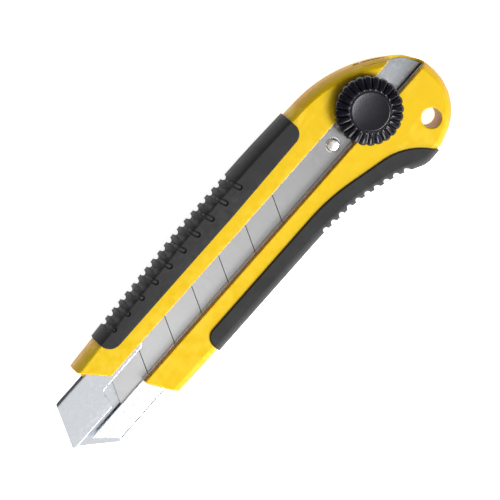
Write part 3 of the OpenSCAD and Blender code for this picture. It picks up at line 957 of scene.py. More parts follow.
@dataclass
class Paints:
    """Every finish that the knife wears, made once."""

    made: Dict[str, bpy.types.Material] = field(default_factory=dict)

    def build(self) -> None:
        """Makes all the materials."""
        finishes: List[Finish] = [
            MouldedPlastic("handle_plastic", (0.555, 0.362, 0.0008), 0.38, shade=(0.515, 0.322, 0.0005),
                           worn=(0.68, 0.50, 0.05), relief=0.000014, wear=0.35, gloss=0.12, glow=0.2,
                           # deep: painted shade on faces seen at a grazing angle
                           deep=(0.47, 0.205, 0.0008)),
            MouldedPlastic("wheel_plastic", (0.0035, 0.003, 0.0055), 0.22, shade=(0.006, 0.005, 0.009),
                           worn=(0.03, 0.027, 0.04), grain=2600.0, relief=0.00001, wear=0.3, gloss=0.3),
            MouldedPlastic("guide_plastic", (0.02, 0.02, 0.022), 0.4, shade=(0.03, 0.03, 0.03),
                           worn=(0.1, 0.1, 0.1)),
            GripRubber("grip_rubber", (0.0065, 0.0065, 0.0071), 0.62, bloom=(0.0100, 0.0100, 0.0108)),
            SheetSteel("sheath_steel", (0.90, 0.93, 0.97), 0.18, dull=(0.72, 0.75, 0.80), mottle=0.7,
                       # the darkening towards the tail is a painted reflection of the black wheel in the
                       # steel behind it
                       relief=0.000011, oil=0.7, oil_span=(0.060, 0.098)),
            SheetSteel("blade_steel", (0.76, 0.76, 0.76), 0.20, dull=(0.66, 0.66, 0.665), mottle=0.15,
                       # the blade is darkened towards its tail
                       angle=math.pi / 2, lines=5200.0, relief=0.000003, oil=0.6),
            # painted shade: dark steel laid in the score grooves, where their shade would fall
            SheetSteel("score_dirt", (0.16, 0.155, 0.15), 0.5, dull=(0.09, 0.09, 0.09), mottle=0.6),
            SheetSteel("stud_steel", (0.80, 0.78, 0.75), 0.28, dull=(0.35, 0.33, 0.31), mottle=0.9,
                       relief=0.00002),
            SheetSteel("bright_steel", (0.72, 0.73, 0.75), 0.27, dull=(0.5, 0.5, 0.52)),
            SheetSteel("black_steel", (0.05, 0.05, 0.055), 0.35, dull=(0.1, 0.1, 0.1)),
            SheetSteel("insert_brass", (0.80, 0.58, 0.26), 0.3, dull=(0.6, 0.42, 0.18)),
            FloorPaint("floor_paint", (0.93, 0.93, 0.93), 0.7),
        ]
        for finish in finishes:
            self.made[finish.name] = finish.material()

    def __getitem__(self, name: str) -> bpy.types.Material:
        """Gives a material by its name."""
        return self.made[name]

    def dress(self, obj: bpy.types.Object, name: str) -> bpy.types.Object:
        """Gives an object a single material.

        Args:
            obj: the piece.
            name: the finish's name.

        Returns:
            The same piece.
        """
        obj.data.materials.clear()
        obj.data.materials.append(self[name])
        return obj


def settle_normals(obj: bpy.types.Object) -> None:
    """Lets the large faces of a mesh keep their own direction, so that they look flat.

    Args:
        obj: the piece, whose mesh is replaced by the settled one.
    """
    modifier = obj.modifiers.new("settle", "WEIGHTED_NORMAL")
    modifier.keep_sharp = True
    modifier.weight = FLAT_WEIGHT
    graph = bpy.context.evaluated_depsgraph_get()
    mesh = bpy.data.meshes.new_from_object(obj.evaluated_get(graph))
    obj.modifiers.remove(modifier)
    obj.data = mesh


def stand_for(obj: bpy.types.Object, node: str, body: str) -> None:
    """Puts a finished piece in the place of a CAD node.

    Args:
        obj: the finished piece.
        node: the CAD node it stands for.
        body: the body it moves with.
    """
    settle_normals(obj)
    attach(obj, body)
    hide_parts(node)
    LOG.info("%s stands for %s on %s: %d faces", obj.name, node, body, len(obj.data.polygons))


# ---------------------------------------------------------------- handle


@dataclass
class Bevel:
    """The rounded bevel that runs round a face of the handle, ending in a crease at its inner edge."""

    edge_z: float = 9.0
    face_z: float = TOP
    width: float = 3.0
    crease: float = 0.30
    blend: float = 0.03
    strip: float = 0.12
    last_strip: float = 0.3

    def height(self, d: Array) -> Array:
        """Gives the height of the face at a distance inside the outline.

        Args:
            d: distances inside the outline.

        Returns:
            The height at each distance.
        """
        t = 1 - d / self.width
        t = np.clip((np.sqrt(t * t + self.blend**2) + t) / 2, 0, 1)
        rise = self.face_z - self.edge_z
        return self.face_z - rise * (self.crease * t + (1 - self.crease) * (1 - np.sqrt(1 - t * t)))

    def inset_at(self, z: Array) -> Array:
        """Gives the distance inside the outline at which the face reaches a height."""
        d = np.linspace(0, self.width, 2001)
        return np.interp(z, self.height(d), d)

    def steps(self, n: int = 9) -> List[float]:
        """Gives the distances at which the bevel is cut into strips."""
        out = [self.width * (1 - math.cos(math.pi / 2 * k / n)) for k in range(1, n)]
        return out + [self.width - self.strip, self.width, self.width + self.strip,
                      self.width + self.last_strip]


@dataclass
class HandleBody:
    """The moulded handle: two cheeks either side of the slot, the web under the sheath, the hang hole."""

    bevel: Bevel = field(default_factory=Bevel)
    core: Bevel = field(default_factory=lambda: Bevel(9.0, 14.2, 3.0))
    nose_r: float = 0.8
    slot_r: float = 0.4
    over_lip: float = 0.3
    mouth: float = 9.95
    mouth_edge: float = 0.1
    web_top: float = 6.45
    mouth_web_top: float = 7.42
    web_inset: float = 0.02
    hang: Tuple[float, float, float] = (TAIL - 14.4, -20.0, 3.8)
    hang_ease: float = 0.5
    tube_wall: float = 1.4
    tube_ease: float = 0.35
    hang_points: int = 48
    tube_segments: int = 64

    def _face(self, p: Array) -> Array:
        """Gives the height of the yellow face, rounded at the nose, the slot and the hang hole.

        Args:
            p: rows of x, y.

        Returns:
            The height at each point.
        """
        z = self.bevel.height(depth_in(p, HANDLE.ring()))
        z = z - fillet(-depth_in(p, NOSE.ring()), self.nose_r)
        z = z - fillet(-depth_in(p, SLOT.ring()), self.slot_r)
        hole = np.hypot(p[:, 0] - self.hang[0], p[:, 1] - self.hang[1]) - self.hang[2]
        return z - fillet(hole, self.hang_ease)

    def _core(self, p: Array) -> Array:
        """Gives the height of the handle under the rubber."""
        return self.core.height(depth_in(p, HANDLE.ring()) - RUBBER_INSET)

    def _zone(self, p: Array) -> Array:
        """Puts each point in a zone: 0 cheek, 1 over the sheath, 2, 3 those under rubber, 4 past its end.

        Args:
            p: rows of x, y.

        Returns:
            The zone of each point, below zero where there is nothing.
        """
        deep = depth_in(p, HANDLE.ring())
        rubbered = inside(p, SPINE_PAD.ring()) | inside(p, FINGER_PAD.ring())
        over = (abs(p[:, 1]) < POCKET).astype(int)
        past = (over == 1) & ~inside(p, SHEATH.ring(-SHEATH_FIT)) & (p[:, 0] > REAR_HALF)
        gone = (deep < 0) | inside(p, NOSE.ring()) | inside(p, SLOT.ring())
        gone |= np.hypot(p[:, 0] - self.hang[0], p[:, 1] - self.hang[1]) < self.hang[2]
        gone |= rubbered & (deep < RUBBER_INSET)
        brim = np.where(past, self.mouth + self.mouth_edge, LIP_TOP + self.over_lip)
        gone |= (over == 1) & (deep < self.bevel.inset_at(brim))
        return np.where(gone, -1, np.where(past, 4, over + 2 * rubbered))

    def _base(self, p: Array) -> Array:
        """Gives the underside of the cheeks, eased at the seam with the rear cover."""
        return SEAM + SEAM_EASE * np.clip(1 - depth_in(p, HANDLE.ring()) / SEAM_EASE, 0, 1)

    def build(self) -> bpy.types.Object:
        """Builds the handle's mesh.

        Returns:
            The handle as one closed object.
        """
        brims = (LIP_TOP + self.over_lip, self.mouth + self.mouth_edge)
        hx, hy, hr = self.hang
        slab = Slab()
        slab.cut(HANDLE.ring(), HANDLE.ring(SEAM_EASE), *[HANDLE.ring(d) for d in self.bevel.steps()])
        slab.cut(HANDLE.ring(RUBBER_INSET), SHEATH.ring(-SHEATH_FIT))
        slab.cut(*[HANDLE.ring(float(self.bevel.inset_at(z))) for z in brims])
        slab.cut(SPINE_PAD.ring(), FINGER_PAD.ring())
        slab.cut(NOSE.ring(), *[NOSE.ring(-d) for d in fillet_steps(self.nose_r)])
        slab.cut(SLOT.ring(), *[SLOT.ring(-d) for d in fillet_steps(self.slot_r, 3)])
        slab.cut(*[circle(hx, hy, hr + d, self.hang_points) for d in [0.0] + fillet_steps(self.hang_ease)])
        slab.cut_open(lengthwise(-POCKET), lengthwise(POCKET))
        over = constant(LIP_TOP + SHEATH_FIT)
        body = slab.build(
            "handle", self._zone,
            {0: self._face, 1: self._face, 2: self._core, 3: self._core, 4: self._face},
            {0: self._base, 1: over, 2: self._base, 3: over, 4: constant(self.mouth)})
        outer, front = HANDLE.ring(self.web_inset), NOSE.ring(-self.web_inset)
        web = Slab()
        web.cut(outer, front, SHEATH.ring(-SHEATH_FIT))
        web.cut_open(lengthwise(-POCKET), lengthwise(POCKET))

        def strip(p: Array) -> Array:
            """Keeps the strip under the sheath: 0 along it, 1 past its end.

            Args:
                p: rows of x, y.

            Returns:
                The zone of each point, below zero where there is nothing.
            """
            kept = inside(p, outer) & ~inside(p, front)
            past = ~inside(p, SHEATH.ring(-SHEATH_FIT)) & (p[:, 0] > REAR_HALF)
            return np.where(kept & (abs(p[:, 1]) < POCKET), past.astype(int), -1)

        under = web.build("web", strip, {0: constant(self.web_top), 1: constant(self.mouth_web_top)},
                          {0: constant(SEAM), 1: constant(SEAM)})
        outer_r = hr + self.tube_wall
        tube = lathe("hang_tube", [(hr, self.tube_ease), (hr + self.tube_ease, 0.0), (outer_r, 0.0),
                                   (outer_r, SEAM), (hr, SEAM)], (hx, hy), self.tube_segments)
        return join("moulded_handle", [body, under, tube])


@dataclass
class RearCover:
    """The moulded cover over the handle's back, with its screw holes."""

    bevel: Bevel = field(default_factory=lambda: Bevel(-SEAM, 0.0, 3.0))
    under_rubber: Bevel = field(default_factory=lambda: Bevel(-3.0, 0.0, 3.0))
    rubber_floor: float = 1.3
    nose_r: float = 0.6
    spots: Tuple[Tuple[float, float], ...] = (
        (33.2, 16.0), (96.0, 17.3), (TAIL - 37.7, 16.9), (53.0, -15.95), (TAIL - 47.7, -17.9),
        (TAIL - 25.7, -24.4),
    )
    bore_r: float = 2.0
    bore_ease: float = 0.25
    bore_floor: float = 3.3
    screw_r: float = 1.15
    bore_points: int = 32
    hang: Tuple[float, float, float] = (TAIL - 14.4, -20.0, 5.22)

    def ease_bores(self, z: Array, p: Array) -> Array:
        """Raises a back face round the counterbores, so that their edges are eased.

        Args:
            z: the height of the back face at each point.
            p: rows of x, y.

        Returns:
            The eased height at each point.
        """
        for x, y in self.spots:
            z = z + fillet(np.hypot(p[:, 0] - x, p[:, 1] - y) - self.bore_r, self.bore_ease)
        return z

    def bore_rings(self) -> List[Array]:
        """Gives the circles along which the edges of the counterbores are cut."""
        reaches = [self.bore_r] + [self.bore_r + s for s in fillet_steps(self.bore_ease, 2)]
        return [circle(x, y, r, self.bore_points) for x, y in self.spots for r in reaches]

    def _skin(self, p: Array) -> Array:
        """Gives the height of the back face, bevelled round its edge.

        Args:
            p: rows of x, y.

        Returns:
            The height at each point.
        """
        z = -self.bevel.height(depth_in(p, HANDLE.ring()))
        z = z + fillet(-depth_in(p, NOSE.ring()), self.nose_r)
        return np.minimum(self.ease_bores(z, p), BACK_LIMIT)

    def _core(self, p: Array) -> Array:
        """Gives the height of the cover under the rubber."""
        skin = self.under_rubber.height(depth_in(p, HANDLE.ring()) - RUBBER_INSET)
        return np.minimum(self.rubber_floor - skin, BACK_LIMIT)

    def _zone(self, p: Array) -> Array:
        """Puts each point in a zone: 0 the face, 1 under rubber, 2 the counterbores.

        Args:
            p: rows of x, y.

        Returns:
            The zone of each point, below zero where there is nothing.
        """
        deep = depth_in(p, HANDLE.ring())
        rubbered = inside(p, SPINE_PAD.ring()) | inside(p, FINGER_PAD.ring())
        gone = (deep < 0) | inside(p, NOSE.ring()) | (rubbered & (deep < RUBBER_INSET))
        gone |= np.hypot(p[:, 0] - self.hang[0], p[:, 1] - self.hang[1]) < self.hang[2]
        zone = np.where(rubbered, 1, 0)
        for x, y in self.spots:
            reach = np.hypot(p[:, 0] - x, p[:, 1] - y)
            zone = np.where(reach < self.bore_r, 2, zone)
            gone |= reach < self.screw_r
        return np.where(gone, -1, zone)

    def build(self) -> bpy.types.Object:
        """Builds the cover's mesh.

        Returns:
            The cover as one closed object.
        """
        slab = Slab()
        slab.cut(HANDLE.ring(), HANDLE.ring(SEAM_EASE), *[HANDLE.ring(d) for d in self.bevel.steps()])
        slab.cut(HANDLE.ring(RUBBER_INSET), SPINE_PAD.ring(), FINGER_PAD.ring())
        slab.cut(NOSE.ring(), *[NOSE.ring(-d) for d in fillet_steps(self.nose_r)])
        reaches = [self.screw_r, self.bore_r] + [self.bore_r + d for d in fillet_steps(self.bore_ease, 2)]
        for x, y, r in [(x, y, r) for x, y in self.spots for r in reaches] + [self.hang]:
            slab.cut(circle(x, y, r, self.bore_points))

        def seam(p: Array) -> Array:
            """Gives the upper face, eased at the seam."""
            return SEAM - SEAM_EASE * np.clip(1 - depth_in(p, HANDLE.ring()) / SEAM_EASE, 0, 1)

        return slab.build("back_cover", self._zone, {0: seam, 1: seam, 2: seam},
                          {0: self._skin, 1: self._core, 2: constant(self.bore_floor)})


@dataclass
class Grip:
    """A rubber grip moulded over one side of the handle, on its front or on its back."""

    side: Side
    face: Face
    proud: float = 0.8
    bevel_width: float = 3.3
    groove_depth: float = 1.35
    groove_share: float = 0.27
    groove_reach: float = 0.9
    edge_r: float = 0.45
    rear_edge_r: float = 0.3
    seam_gap: float = 0.05
    facet: float = 2.0
    fineness: float = 0.2
    pitch: float = 3.85
    count: int = 19
    first: float = 42.7
    dimples: int = 10
    dimple_first: float = 43.1
    dimple_pitch: float = 7.75
    dimple_ends: Tuple[Tuple[float, float], Tuple[float, float]] = ((0.35, 16.9), (-0.35, 19.6))
    dimple_r: float = 0.78
    dimple_half: float = 0.40
    dimple_depth: float = 0.62
    dimple_cuts: Tuple[float, ...] = (0.38, 0.5, 0.62, 0.78, 0.94, 1.06, 1.18)

    def __post_init__(self) -> None:
        """Takes the spacing of the grooves that belongs to the side."""
        if self.side is Side.FINGER:
            self.pitch, self.count, self.first, self.dimples = 4.05, 10, TAIL - 71.1, 0
        if self.face is Face.REAR:
            self.dimples = 0
        front = self.face is Face.FRONT
        edge_z, face_z = (9.0, TOP + self.proud) if front else (-SEAM, 0.0)
        self.bevel = Bevel(edge_z, face_z, self.bevel_width)
        self.pad = SPINE_PAD if self.side is Side.SPINE else FINGER_PAD

    def groove(self, x: Array) -> Array:
        """Gives how deep the grooves cut into the side at each x.

        Args:
            x: x of each point.

        Returns:
            The depth at each x.
        """
        last = self.first + (self.count - 1) * self.pitch
        number = np.round((np.clip(x, self.first, last) - self.first) / self.pitch)
        nearest = self.first + number * self.pitch
        t = np.clip(abs(x - nearest) / (self.pitch * self.groove_share), 0, 1)
        return self.groove_depth * np.sqrt(1 - t * t)

    def _side_ring(self) -> Tuple[Array, Array]:
        """Gives a finely divided outline of the rubber's side and its outward directions.

        Returns:
            Rows of x, y, and the unit direction out of the side at each.
        """
        ring = HANDLE.ring(-self.proud, self.facet)
        out: List[Array] = []
        for a, b in zip(ring, np.roll(ring, -1, 0)):
            length = float(np.linalg.norm(b - a))
            n = max(1, int(length / self.fineness))
            out.append(a + (b - a) * (np.arange(n) / n)[:, None])
        line = np.concatenate(out)
        ahead = np.roll(line, -1, 0) - np.roll(line, 1, 0)
        ahead /= np.maximum(np.linalg.norm(ahead, axis=1, keepdims=True), 1e-9)
        return line, np.stack([ahead[:, 1], -ahead[:, 0]], 1)

    def _strip(self, line: Array, normal: Array, d: float) -> Array:
        """Gives the rubber's outline drawn in by d, wavy with the grooves near the side.

        Args:
            line: rows of x, y along the side.
            normal: the outward directions there.
            d: how far the outline is drawn in.

        Returns:
            Rows of x, y.
        """
        t = d / self.bevel.width
        inset = d + self.groove(line[:, 0]) * max(0.0, 1 - t / self.groove_reach)
        return line - normal * inset[:, None]

    def _depth(self, p: Array) -> Array:
        """Measures how far inside the grooved side each point lies, counted along the bevel.

        Args:
            p: rows of x, y.

        Returns:
            The depth of each point, below zero outside the rubber.
        """
        w = self.bevel.width
        deep = depth_in(p, HANDLE.ring(-self.proud, self.facet))
        g = self.groove(p[:, 0])
        t = (deep - g) / (w - g / self.groove_reach)
        return np.where(t < self.groove_reach, t * w, deep)

    def _capsules(self) -> List[Tuple[Array, Array]]:
        """Gives the two ends of each ring dimple's middle line.

        Returns:
            Two points for each dimple.
        """
        out = []
        (dx0, y0), (dx1, y1) = self.dimple_ends
        for i in range(self.dimples):
            x = self.dimple_first + i * self.dimple_pitch
            out.append((np.array([x + dx0, y0]), np.array([x + dx1, y1])))
        return out

    def _surface(self, p: Array) -> Array:
        """Gives the height of the rubber's face.

        Args:
            p: rows of x, y.

        Returns:
            The height at each point.
        """
        z = self.bevel.height(self._depth(p))
        if self.face is Face.REAR:
            z = -z + fillet(depth_in(p, self.pad.ring()), self.rear_edge_r)
            return np.minimum(RearCover().ease_bores(z, p), BACK_LIMIT)
        z = z - fillet(depth_in(p, self.pad.ring()), self.edge_r)
        for a, b in self._capsules():
            u = abs(distance(p, np.array([a, b]), False) - self.dimple_r) / self.dimple_half
            z = z - self.dimple_depth * np.clip(1 - u * u, 0, 1)
        return z

    def _zone(self, p: Array) -> Array:
        """Puts each point in a zone: 0 the side, down to the seam, 1 the skin over the handle.

        Args:
            p: rows of x, y.

        Returns:
            The zone of each point, below zero where there is nothing.
        """
        deep = depth_in(p, HANDLE.ring())
        gone = ~inside(p, self.pad.ring()) | (self._depth(p) < 0)
        if self.face is Face.REAR:
            cover = RearCover()
            for x, y in cover.spots:
                gone |= np.hypot(p[:, 0] - x, p[:, 1] - y) < cover.bore_r
        return np.where(gone, -1, np.where(deep < RUBBER_INSET, 0, 1))

    def build(self) -> bpy.types.Object:
        """Builds the grip's mesh.

        Returns:
            The grip as one closed object.
        """
        slab = Slab()
        line, normal = self._side_ring()
        near = inside(line, self.pad.ring(-6.0))
        start = int(np.argmax(near & ~np.roll(near, 1)))
        run = np.roll(near, -start)
        line, normal = np.roll(line, -start, 0)[run], np.roll(normal, -start, 0)[run]
        for d in [0.0] + self.bevel.steps():
            slab.cut_open(self._strip(line, normal, d))
        slab.cut_open(line - normal * (self.proud + RUBBER_INSET))
        slab.cut(self.pad.ring(), *[self.pad.ring(d) for d in fillet_steps(self.edge_r)])
        for a, b in self._capsules():
            along = (b - a) / np.linalg.norm(b - a)
            heading = math.atan2(along[1], along[0])
            t = np.linspace(-math.pi / 2, math.pi / 2, 9)
            for r in self.dimple_cuts:
                end = np.stack([b[0] + r * np.cos(heading + t), b[1] + r * np.sin(heading + t)], 1)
                back = np.stack([a[0] - r * np.cos(heading + t), a[1] - r * np.sin(heading + t)], 1)
                slab.cut(np.concatenate([end, back]))
        if self.face is Face.REAR:
            slab.cut(*RearCover().bore_rings())
        name = f"{self.side.value}_{self.face.value}_rubber"
        if self.face is Face.FRONT:
            core = HandleBody()._core
            return slab.build(name, self._zone, {0: self._surface, 1: self._surface},
                              {0: constant(SEAM + self.seam_gap), 1: core})
        core = RearCover()._core
        return slab.build(name, self._zone, {0: constant(SEAM - self.seam_gap), 1: core},
                          {0: self._surface, 1: self._surface})


@dataclass
class Handle:
    """Everything moulded: the handle, its back cover and its four rubber grips."""

    def build(self, paints: Paints) -> None:
        """Builds and dresses the moulded pieces.

        Args:
            paints: the finishes.
        """
        body = paints.dress(HandleBody().build(), "handle_plastic")
        stand_for(body, "handle_body", "handle")
        cover = paints.dress(RearCover().build(), "handle_plastic")
        stand_for(cover, "rear_cover", "handle")
        for side in Side:
            for face in Face:
                grip = paints.dress(Grip(side, face).build(), "grip_rubber")
                node = f"{side.value}_grip" if face is Face.FRONT else f"rear_{side.value}_grip"
                stand_for(grip, node, "handle")


# ---------------------------------------------------------------- sheath and blade


@dataclass
class Sheath:
    """The folded steel sheath: its floor, rounded folds, lips and click notches."""

    half: float = 14.1
    steel: float = 1.0
    thin: float = 0.8
    base: float = 6.5
    bend: float = 1.9
    corner_r: float = 0.22
    edge_share: float = 0.7
    fold_clear: float = 0.3
    burr: float = 0.12
    slot_burr: float = 0.05
    first_cut: float = 0.03
    roll: float = 0.34
    spine_y: float = -4.0
    sharp: float = 12.0
    lip_cuts: Tuple[float, ...] = (-10.6, -8.9, -7.2, -5.5, 1.0, 5.9, 7.4, 9.2, 11.0)
    floor_cuts: Tuple[float, ...] = (0.0, 4.0, 8.0)
    roll_end: float = 21.0
    step_end: float = 23.6
    burr_end: float = 46.0
    spring_back: float = 3.0
    lip_y: float = 4.7
    outline: Outline = SHEATH
    gap: Outline = Outline((
        (-10, -4.7, 0.1), (TAIL + 10, -4.7, 0.1), (TAIL + 10, 5.0, 0.1), (46.2, 5.0, 0.8), (44.9, 4.0, 0.8),
        (22.7, 3.9, 2), (21.8, -2.8, 1.6), (-10, -2.8, 0.1),
    ))
    corner: Outline = Outline((
        (-10, -4.65, 0.1), (-10, -20, 0.1), (17.2, -20, 0.1), (15.2, -13.5, 1.5), (7.4, -4.65, 0.2),
    ))
    notch_first: float = 48.5
    notch_pitch: float = 5.4
    notch_r: float = 0.6
    notch_y: float = 5.0
    notch_end: float = TAIL - 8
    notch_points: int = 16
    fold_steps: int = 10
    front: float = -2.0
    cross_span: Tuple[float, float] = (4.0, 60.0)
    cross_half: float = 15.0
    lip_step: float = 2.5
    floor_step: float = 3.1

    def _notches(self) -> List[Tuple[float, float]]:
        """Gives the middle of every click notch."""
        xs = np.arange(self.notch_first, self.notch_end, self.notch_pitch)
        return [(float(x), self.notch_y) for x in xs]

    def _fold_lines(self) -> List[Array]:
        """Gives the lines along which the folds on both sides are cut into strips.

        Returns:
            One line for each cut.
        """
        inner = self.half - self.steel
        folds = [self.half - d for d in fillet_steps(self.bend, self.fold_steps)] + [inner]
        return [self._along(side * y) for y in folds for side in (1, -1)]

    def _along(self, y: float) -> Array:
        """Gives a line along the whole sheath at a given y."""
        return lengthwise(y, self.front, TAIL)

    def _cross_lines(self, step: float) -> List[Array]:
        """Gives lines across the nose, which keep its triangles short."""
        half = self.cross_half
        return [np.array([[x, -half], [x, half]]) for x in np.arange(*self.cross_span, step)]

    def _fold(self, y: Array, r: float, start: float) -> Array:
        """Gives the drop of a fold of radius r that starts at a distance from the centre line."""
        return fillet(start - abs(y), r)

    def build(self) -> bpy.types.Object:
        """Builds the sheath's mesh from its lips with their walls, and its floor.

        Returns:
            The sheath as one object.
        """
        rim, gap, corner = self.outline.ring(), self.gap.ring(), self.corner.ring()
        inner = self.half - self.steel
        lips = Slab()
        lips.cut(rim, gap, corner)
        for d in (self.first_cut, self.burr, self.burr + HOLD, self.roll):
            lips.cut(self.outline.ring(d), self.gap.ring(-d), self.corner.ring(-d))
        for x, y in self._notches():
            lips.cut(*[circle(x, y, r, self.notch_points) for r in (self.notch_r, self.notch_r + self.burr)])
        lips.cut_open(*self._fold_lines(), *[self._along(y) for y in self.lip_cuts])
        lips.cut_open(*self._cross_lines(self.lip_step))
        spots = np.array(self._notches())

        def notch(p: Array) -> Array:
            """Measures how far each point is outside the nearest notch."""
            return np.sqrt(((p[:, None, :] - spots[None]) ** 2).sum(2)).min(1) - self.notch_r

        def lip_zone(p: Array) -> Array:
            """Puts each point in a zone: 0 the lip, 1 the wall below it."""
            gone = ~inside(p, rim) | inside(p, gap) | inside(p, corner) | (notch(p) < 0)
            return np.where(gone, -1, (abs(p[:, 1]) > inner).astype(int))

        def lip_top(p: Array) -> Array:
            """Gives the upper face of the lips, rounded at the folds and eased at the cut edges.

            Args:
                p: rows of x, y.

            Returns:
                The height at each point.
            """
            x, spine_side = p[:, 0], p[:, 1] > self.spine_y
            edge = np.minimum(distance(p, gap), np.minimum(distance(p, corner), distance(p, rim)))
            edge = np.minimum(edge, np.maximum(notch(p), 0))
            step = spine_side & (x > self.roll_end) & (x < self.step_end)
            edge = np.where((self.half - abs(p[:, 1]) < self.fold_clear) | step, self.half, edge)
            eased = fillet(edge, np.where(spine_side & (x > self.burr_end), self.slot_burr, self.burr))
            worn = fillet(distance(p, gap), self.roll)
            eased = np.where(spine_side & (x < self.roll_end), np.maximum(eased, worn), eased)
            lean = math.tan(math.radians(self.spring_back)) * np.clip(-self.lip_y - p[:, 1], 0, None)
            fold = self._fold(p[:, 1], self.bend, self.half)
            return LIP_TOP - fold - eased * self.edge_share - lean

        def lip_under(p: Array) -> Array:
            """Gives the underside of the lips."""
            return LIP_TOP - self.steel - self._fold(p[:, 1], self.corner_r, inner)

        def wall_under(p: Array) -> Array:
            """Gives the outside of the lower fold."""
            return self.base + self._fold(p[:, 1], self.bend, self.half)

        upper = lips.build("sheath_lips", lip_zone, {0: lip_top, 1: lip_top},
                           {0: lip_under, 1: wall_under}, self.sharp)
        floor = Slab()
        floor.cut(rim)
        for d in (self.first_cut, self.burr, self.burr + HOLD):
            floor.cut(self.outline.ring(d))
        floor.cut_open(*self._fold_lines())
        floor.cut_open(*[self._along(side * y) for y in self.floor_cuts for side in (1, -1)])
        floor.cut_open(*self._cross_lines(self.floor_step))

        def floor_zone(p: Array) -> Array:
            """Keeps the floor between the walls, and all of it ahead of the finger-side lip."""
            walled = (abs(p[:, 1]) > inner) & ~inside(p, corner)
            return np.where(inside(p, rim) & ~walled, 0, -1)

        def floor_top(p: Array) -> Array:
            """Gives the floor's upper face, rising into the folds.

            Args:
                p: rows of x, y.

            Returns:
                The height at each point.
            """
            rise = self._fold(p[:, 1], self.corner_r, inner)
            rise = np.where(inside(p, corner), 0, rise)
            return self.base + self.steel + rise - fillet(distance(p, rim), self.burr) * self.edge_share

        def floor_under(p: Array) -> Array:
            """Gives the floor's underside, rounded at the folds."""
            return np.minimum(self.base + self._fold(p[:, 1], self.bend, self.half), self.base + self.thin)

        lower = floor.build("sheath_floor", floor_zone, {0: floor_top}, {0: floor_under}, self.sharp)
        return join("steel_sheath", [upper, lower])


@dataclass
class Blade:
    """The snap-off blade with its ground edge, score lines and tail hole."""

    width: float = 25.0
    base: float = 8.85
    thick: float = 0.7
    front: float = 26.6
    segment: float = 15.0
    scores: int = 6
    slant: float = 28.0
    grind: float = 2.2
    stud: float = 147.8
    hole_r: float = 3.0
    tail: float = 5.8
    clip: float = 1.5
    flat: float = 0.03
    land: float = 0.35
    hole_strip: float = 0.12
    hole_points: int = 40
    score_depth: float = 0.17
    score_half: float = 0.17
    sharp: float = 5.0

    def build(self, paints: Paints) -> bpy.types.Object:
        """Builds the blade's mesh and scores it.

        Args:
            paints: the finishes.

        Returns:
            The blade as one closed object.
        """
        lean = math.tan(math.radians(self.slant))
        hw = self.width / 2
        end = self.stud + self.tail
        edge = np.array([
            [self.front - hw * lean, -hw], [end - self.clip, -hw], [end, -hw + self.clip],
            [end, hw - self.clip], [end - self.clip, hw], [self.front + hw * lean, hw],
        ])
        slab = Slab()
        slab.cut(edge)
        for r in (self.hole_r, self.hole_r + self.hole_strip):
            slab.cut(circle(self.stud, 0.0, r, self.hole_points))
        slab.cut_open(*[lengthwise(y, 0.0, end + 2) for y in (-hw + self.land, -hw + self.grind)])
        reach = hw + 0.5
        for k in range(1, self.scores + 1):
            for share in (-1.0, -0.5, 0.0, 0.5, 1.0):
                x = self.front + k * self.segment + share * self.score_half
                slab.cut_open(np.array([[x - reach * lean, -reach], [x + reach * lean, reach]]))

        def zone(p: Array) -> Array:
            """Keeps what lies on the blade."""
            hole = np.hypot(p[:, 0] - self.stud, p[:, 1]) < self.hole_r
            return np.where(inside(p, edge) & ~hole, 0, -1)

        def ground(p: Array) -> Array:
            """Gives how much is ground off each face towards the edge."""
            return np.clip((-hw + self.grind - p[:, 1]) / self.grind, 0, 1) * (self.thick / 2 - self.flat)

        def top(p: Array) -> Array:
            """Gives the blade's upper face, before it is scored."""
            return self.base + self.thick - ground(p)

        def under(p: Array) -> Array:
            """Gives the blade's lower face."""
            return self.base + ground(p)

        blank = slab.build("blade_blank", zone, {0: top}, {0: under})
        first = to_frame(np.array([(self.front, 0.0, 0.0)]))[0]
        made = Repeats.bake("snap_off_blade", Repeats.score_lines(), blank.data.copy(), {
            "First": tuple(float(v) for v in first), "Pitch": self.segment / MM_PER_M,
            "Count": self.scores, "Lean": lean, "Depth": self.score_depth / MM_PER_M,
            "Half Width": self.score_half / MM_PER_M, "Level": (self.base + self.thick / 2) / MM_PER_M,
            # painted shade: the score grooves take a dark finish
            "Finish": paints["blade_steel"], "Groove Finish": paints["score_dirt"]})
        bpy.data.objects.remove(blank)
        made.data.set_sharp_from_angle(angle=math.radians(self.sharp))
        return made


@dataclass
class Stud:
    """The bright turned stud that holds the blade by its tail hole."""

    centre: Tuple[float, float] = (147.8, 0.0)
    r: float = 2.5

    def build(self) -> bpy.types.Object:
        """Builds the stud's mesh with a slightly domed, chamfered head.

        Returns:
            The stud as one object.
        """
        r = self.r
        profile = [(0.0, 7.65), (1.9, 7.65), (1.9, 8.8), (r, 8.8), (r, 9.8), (r - 0.12, 9.97),
                   (r - 0.35, 10.08), (1.2, 10.2), (0.0, 10.22)]
        return lathe("turned_stud", profile, self.centre, 56)


# ---------------------------------------------------------------- repeats


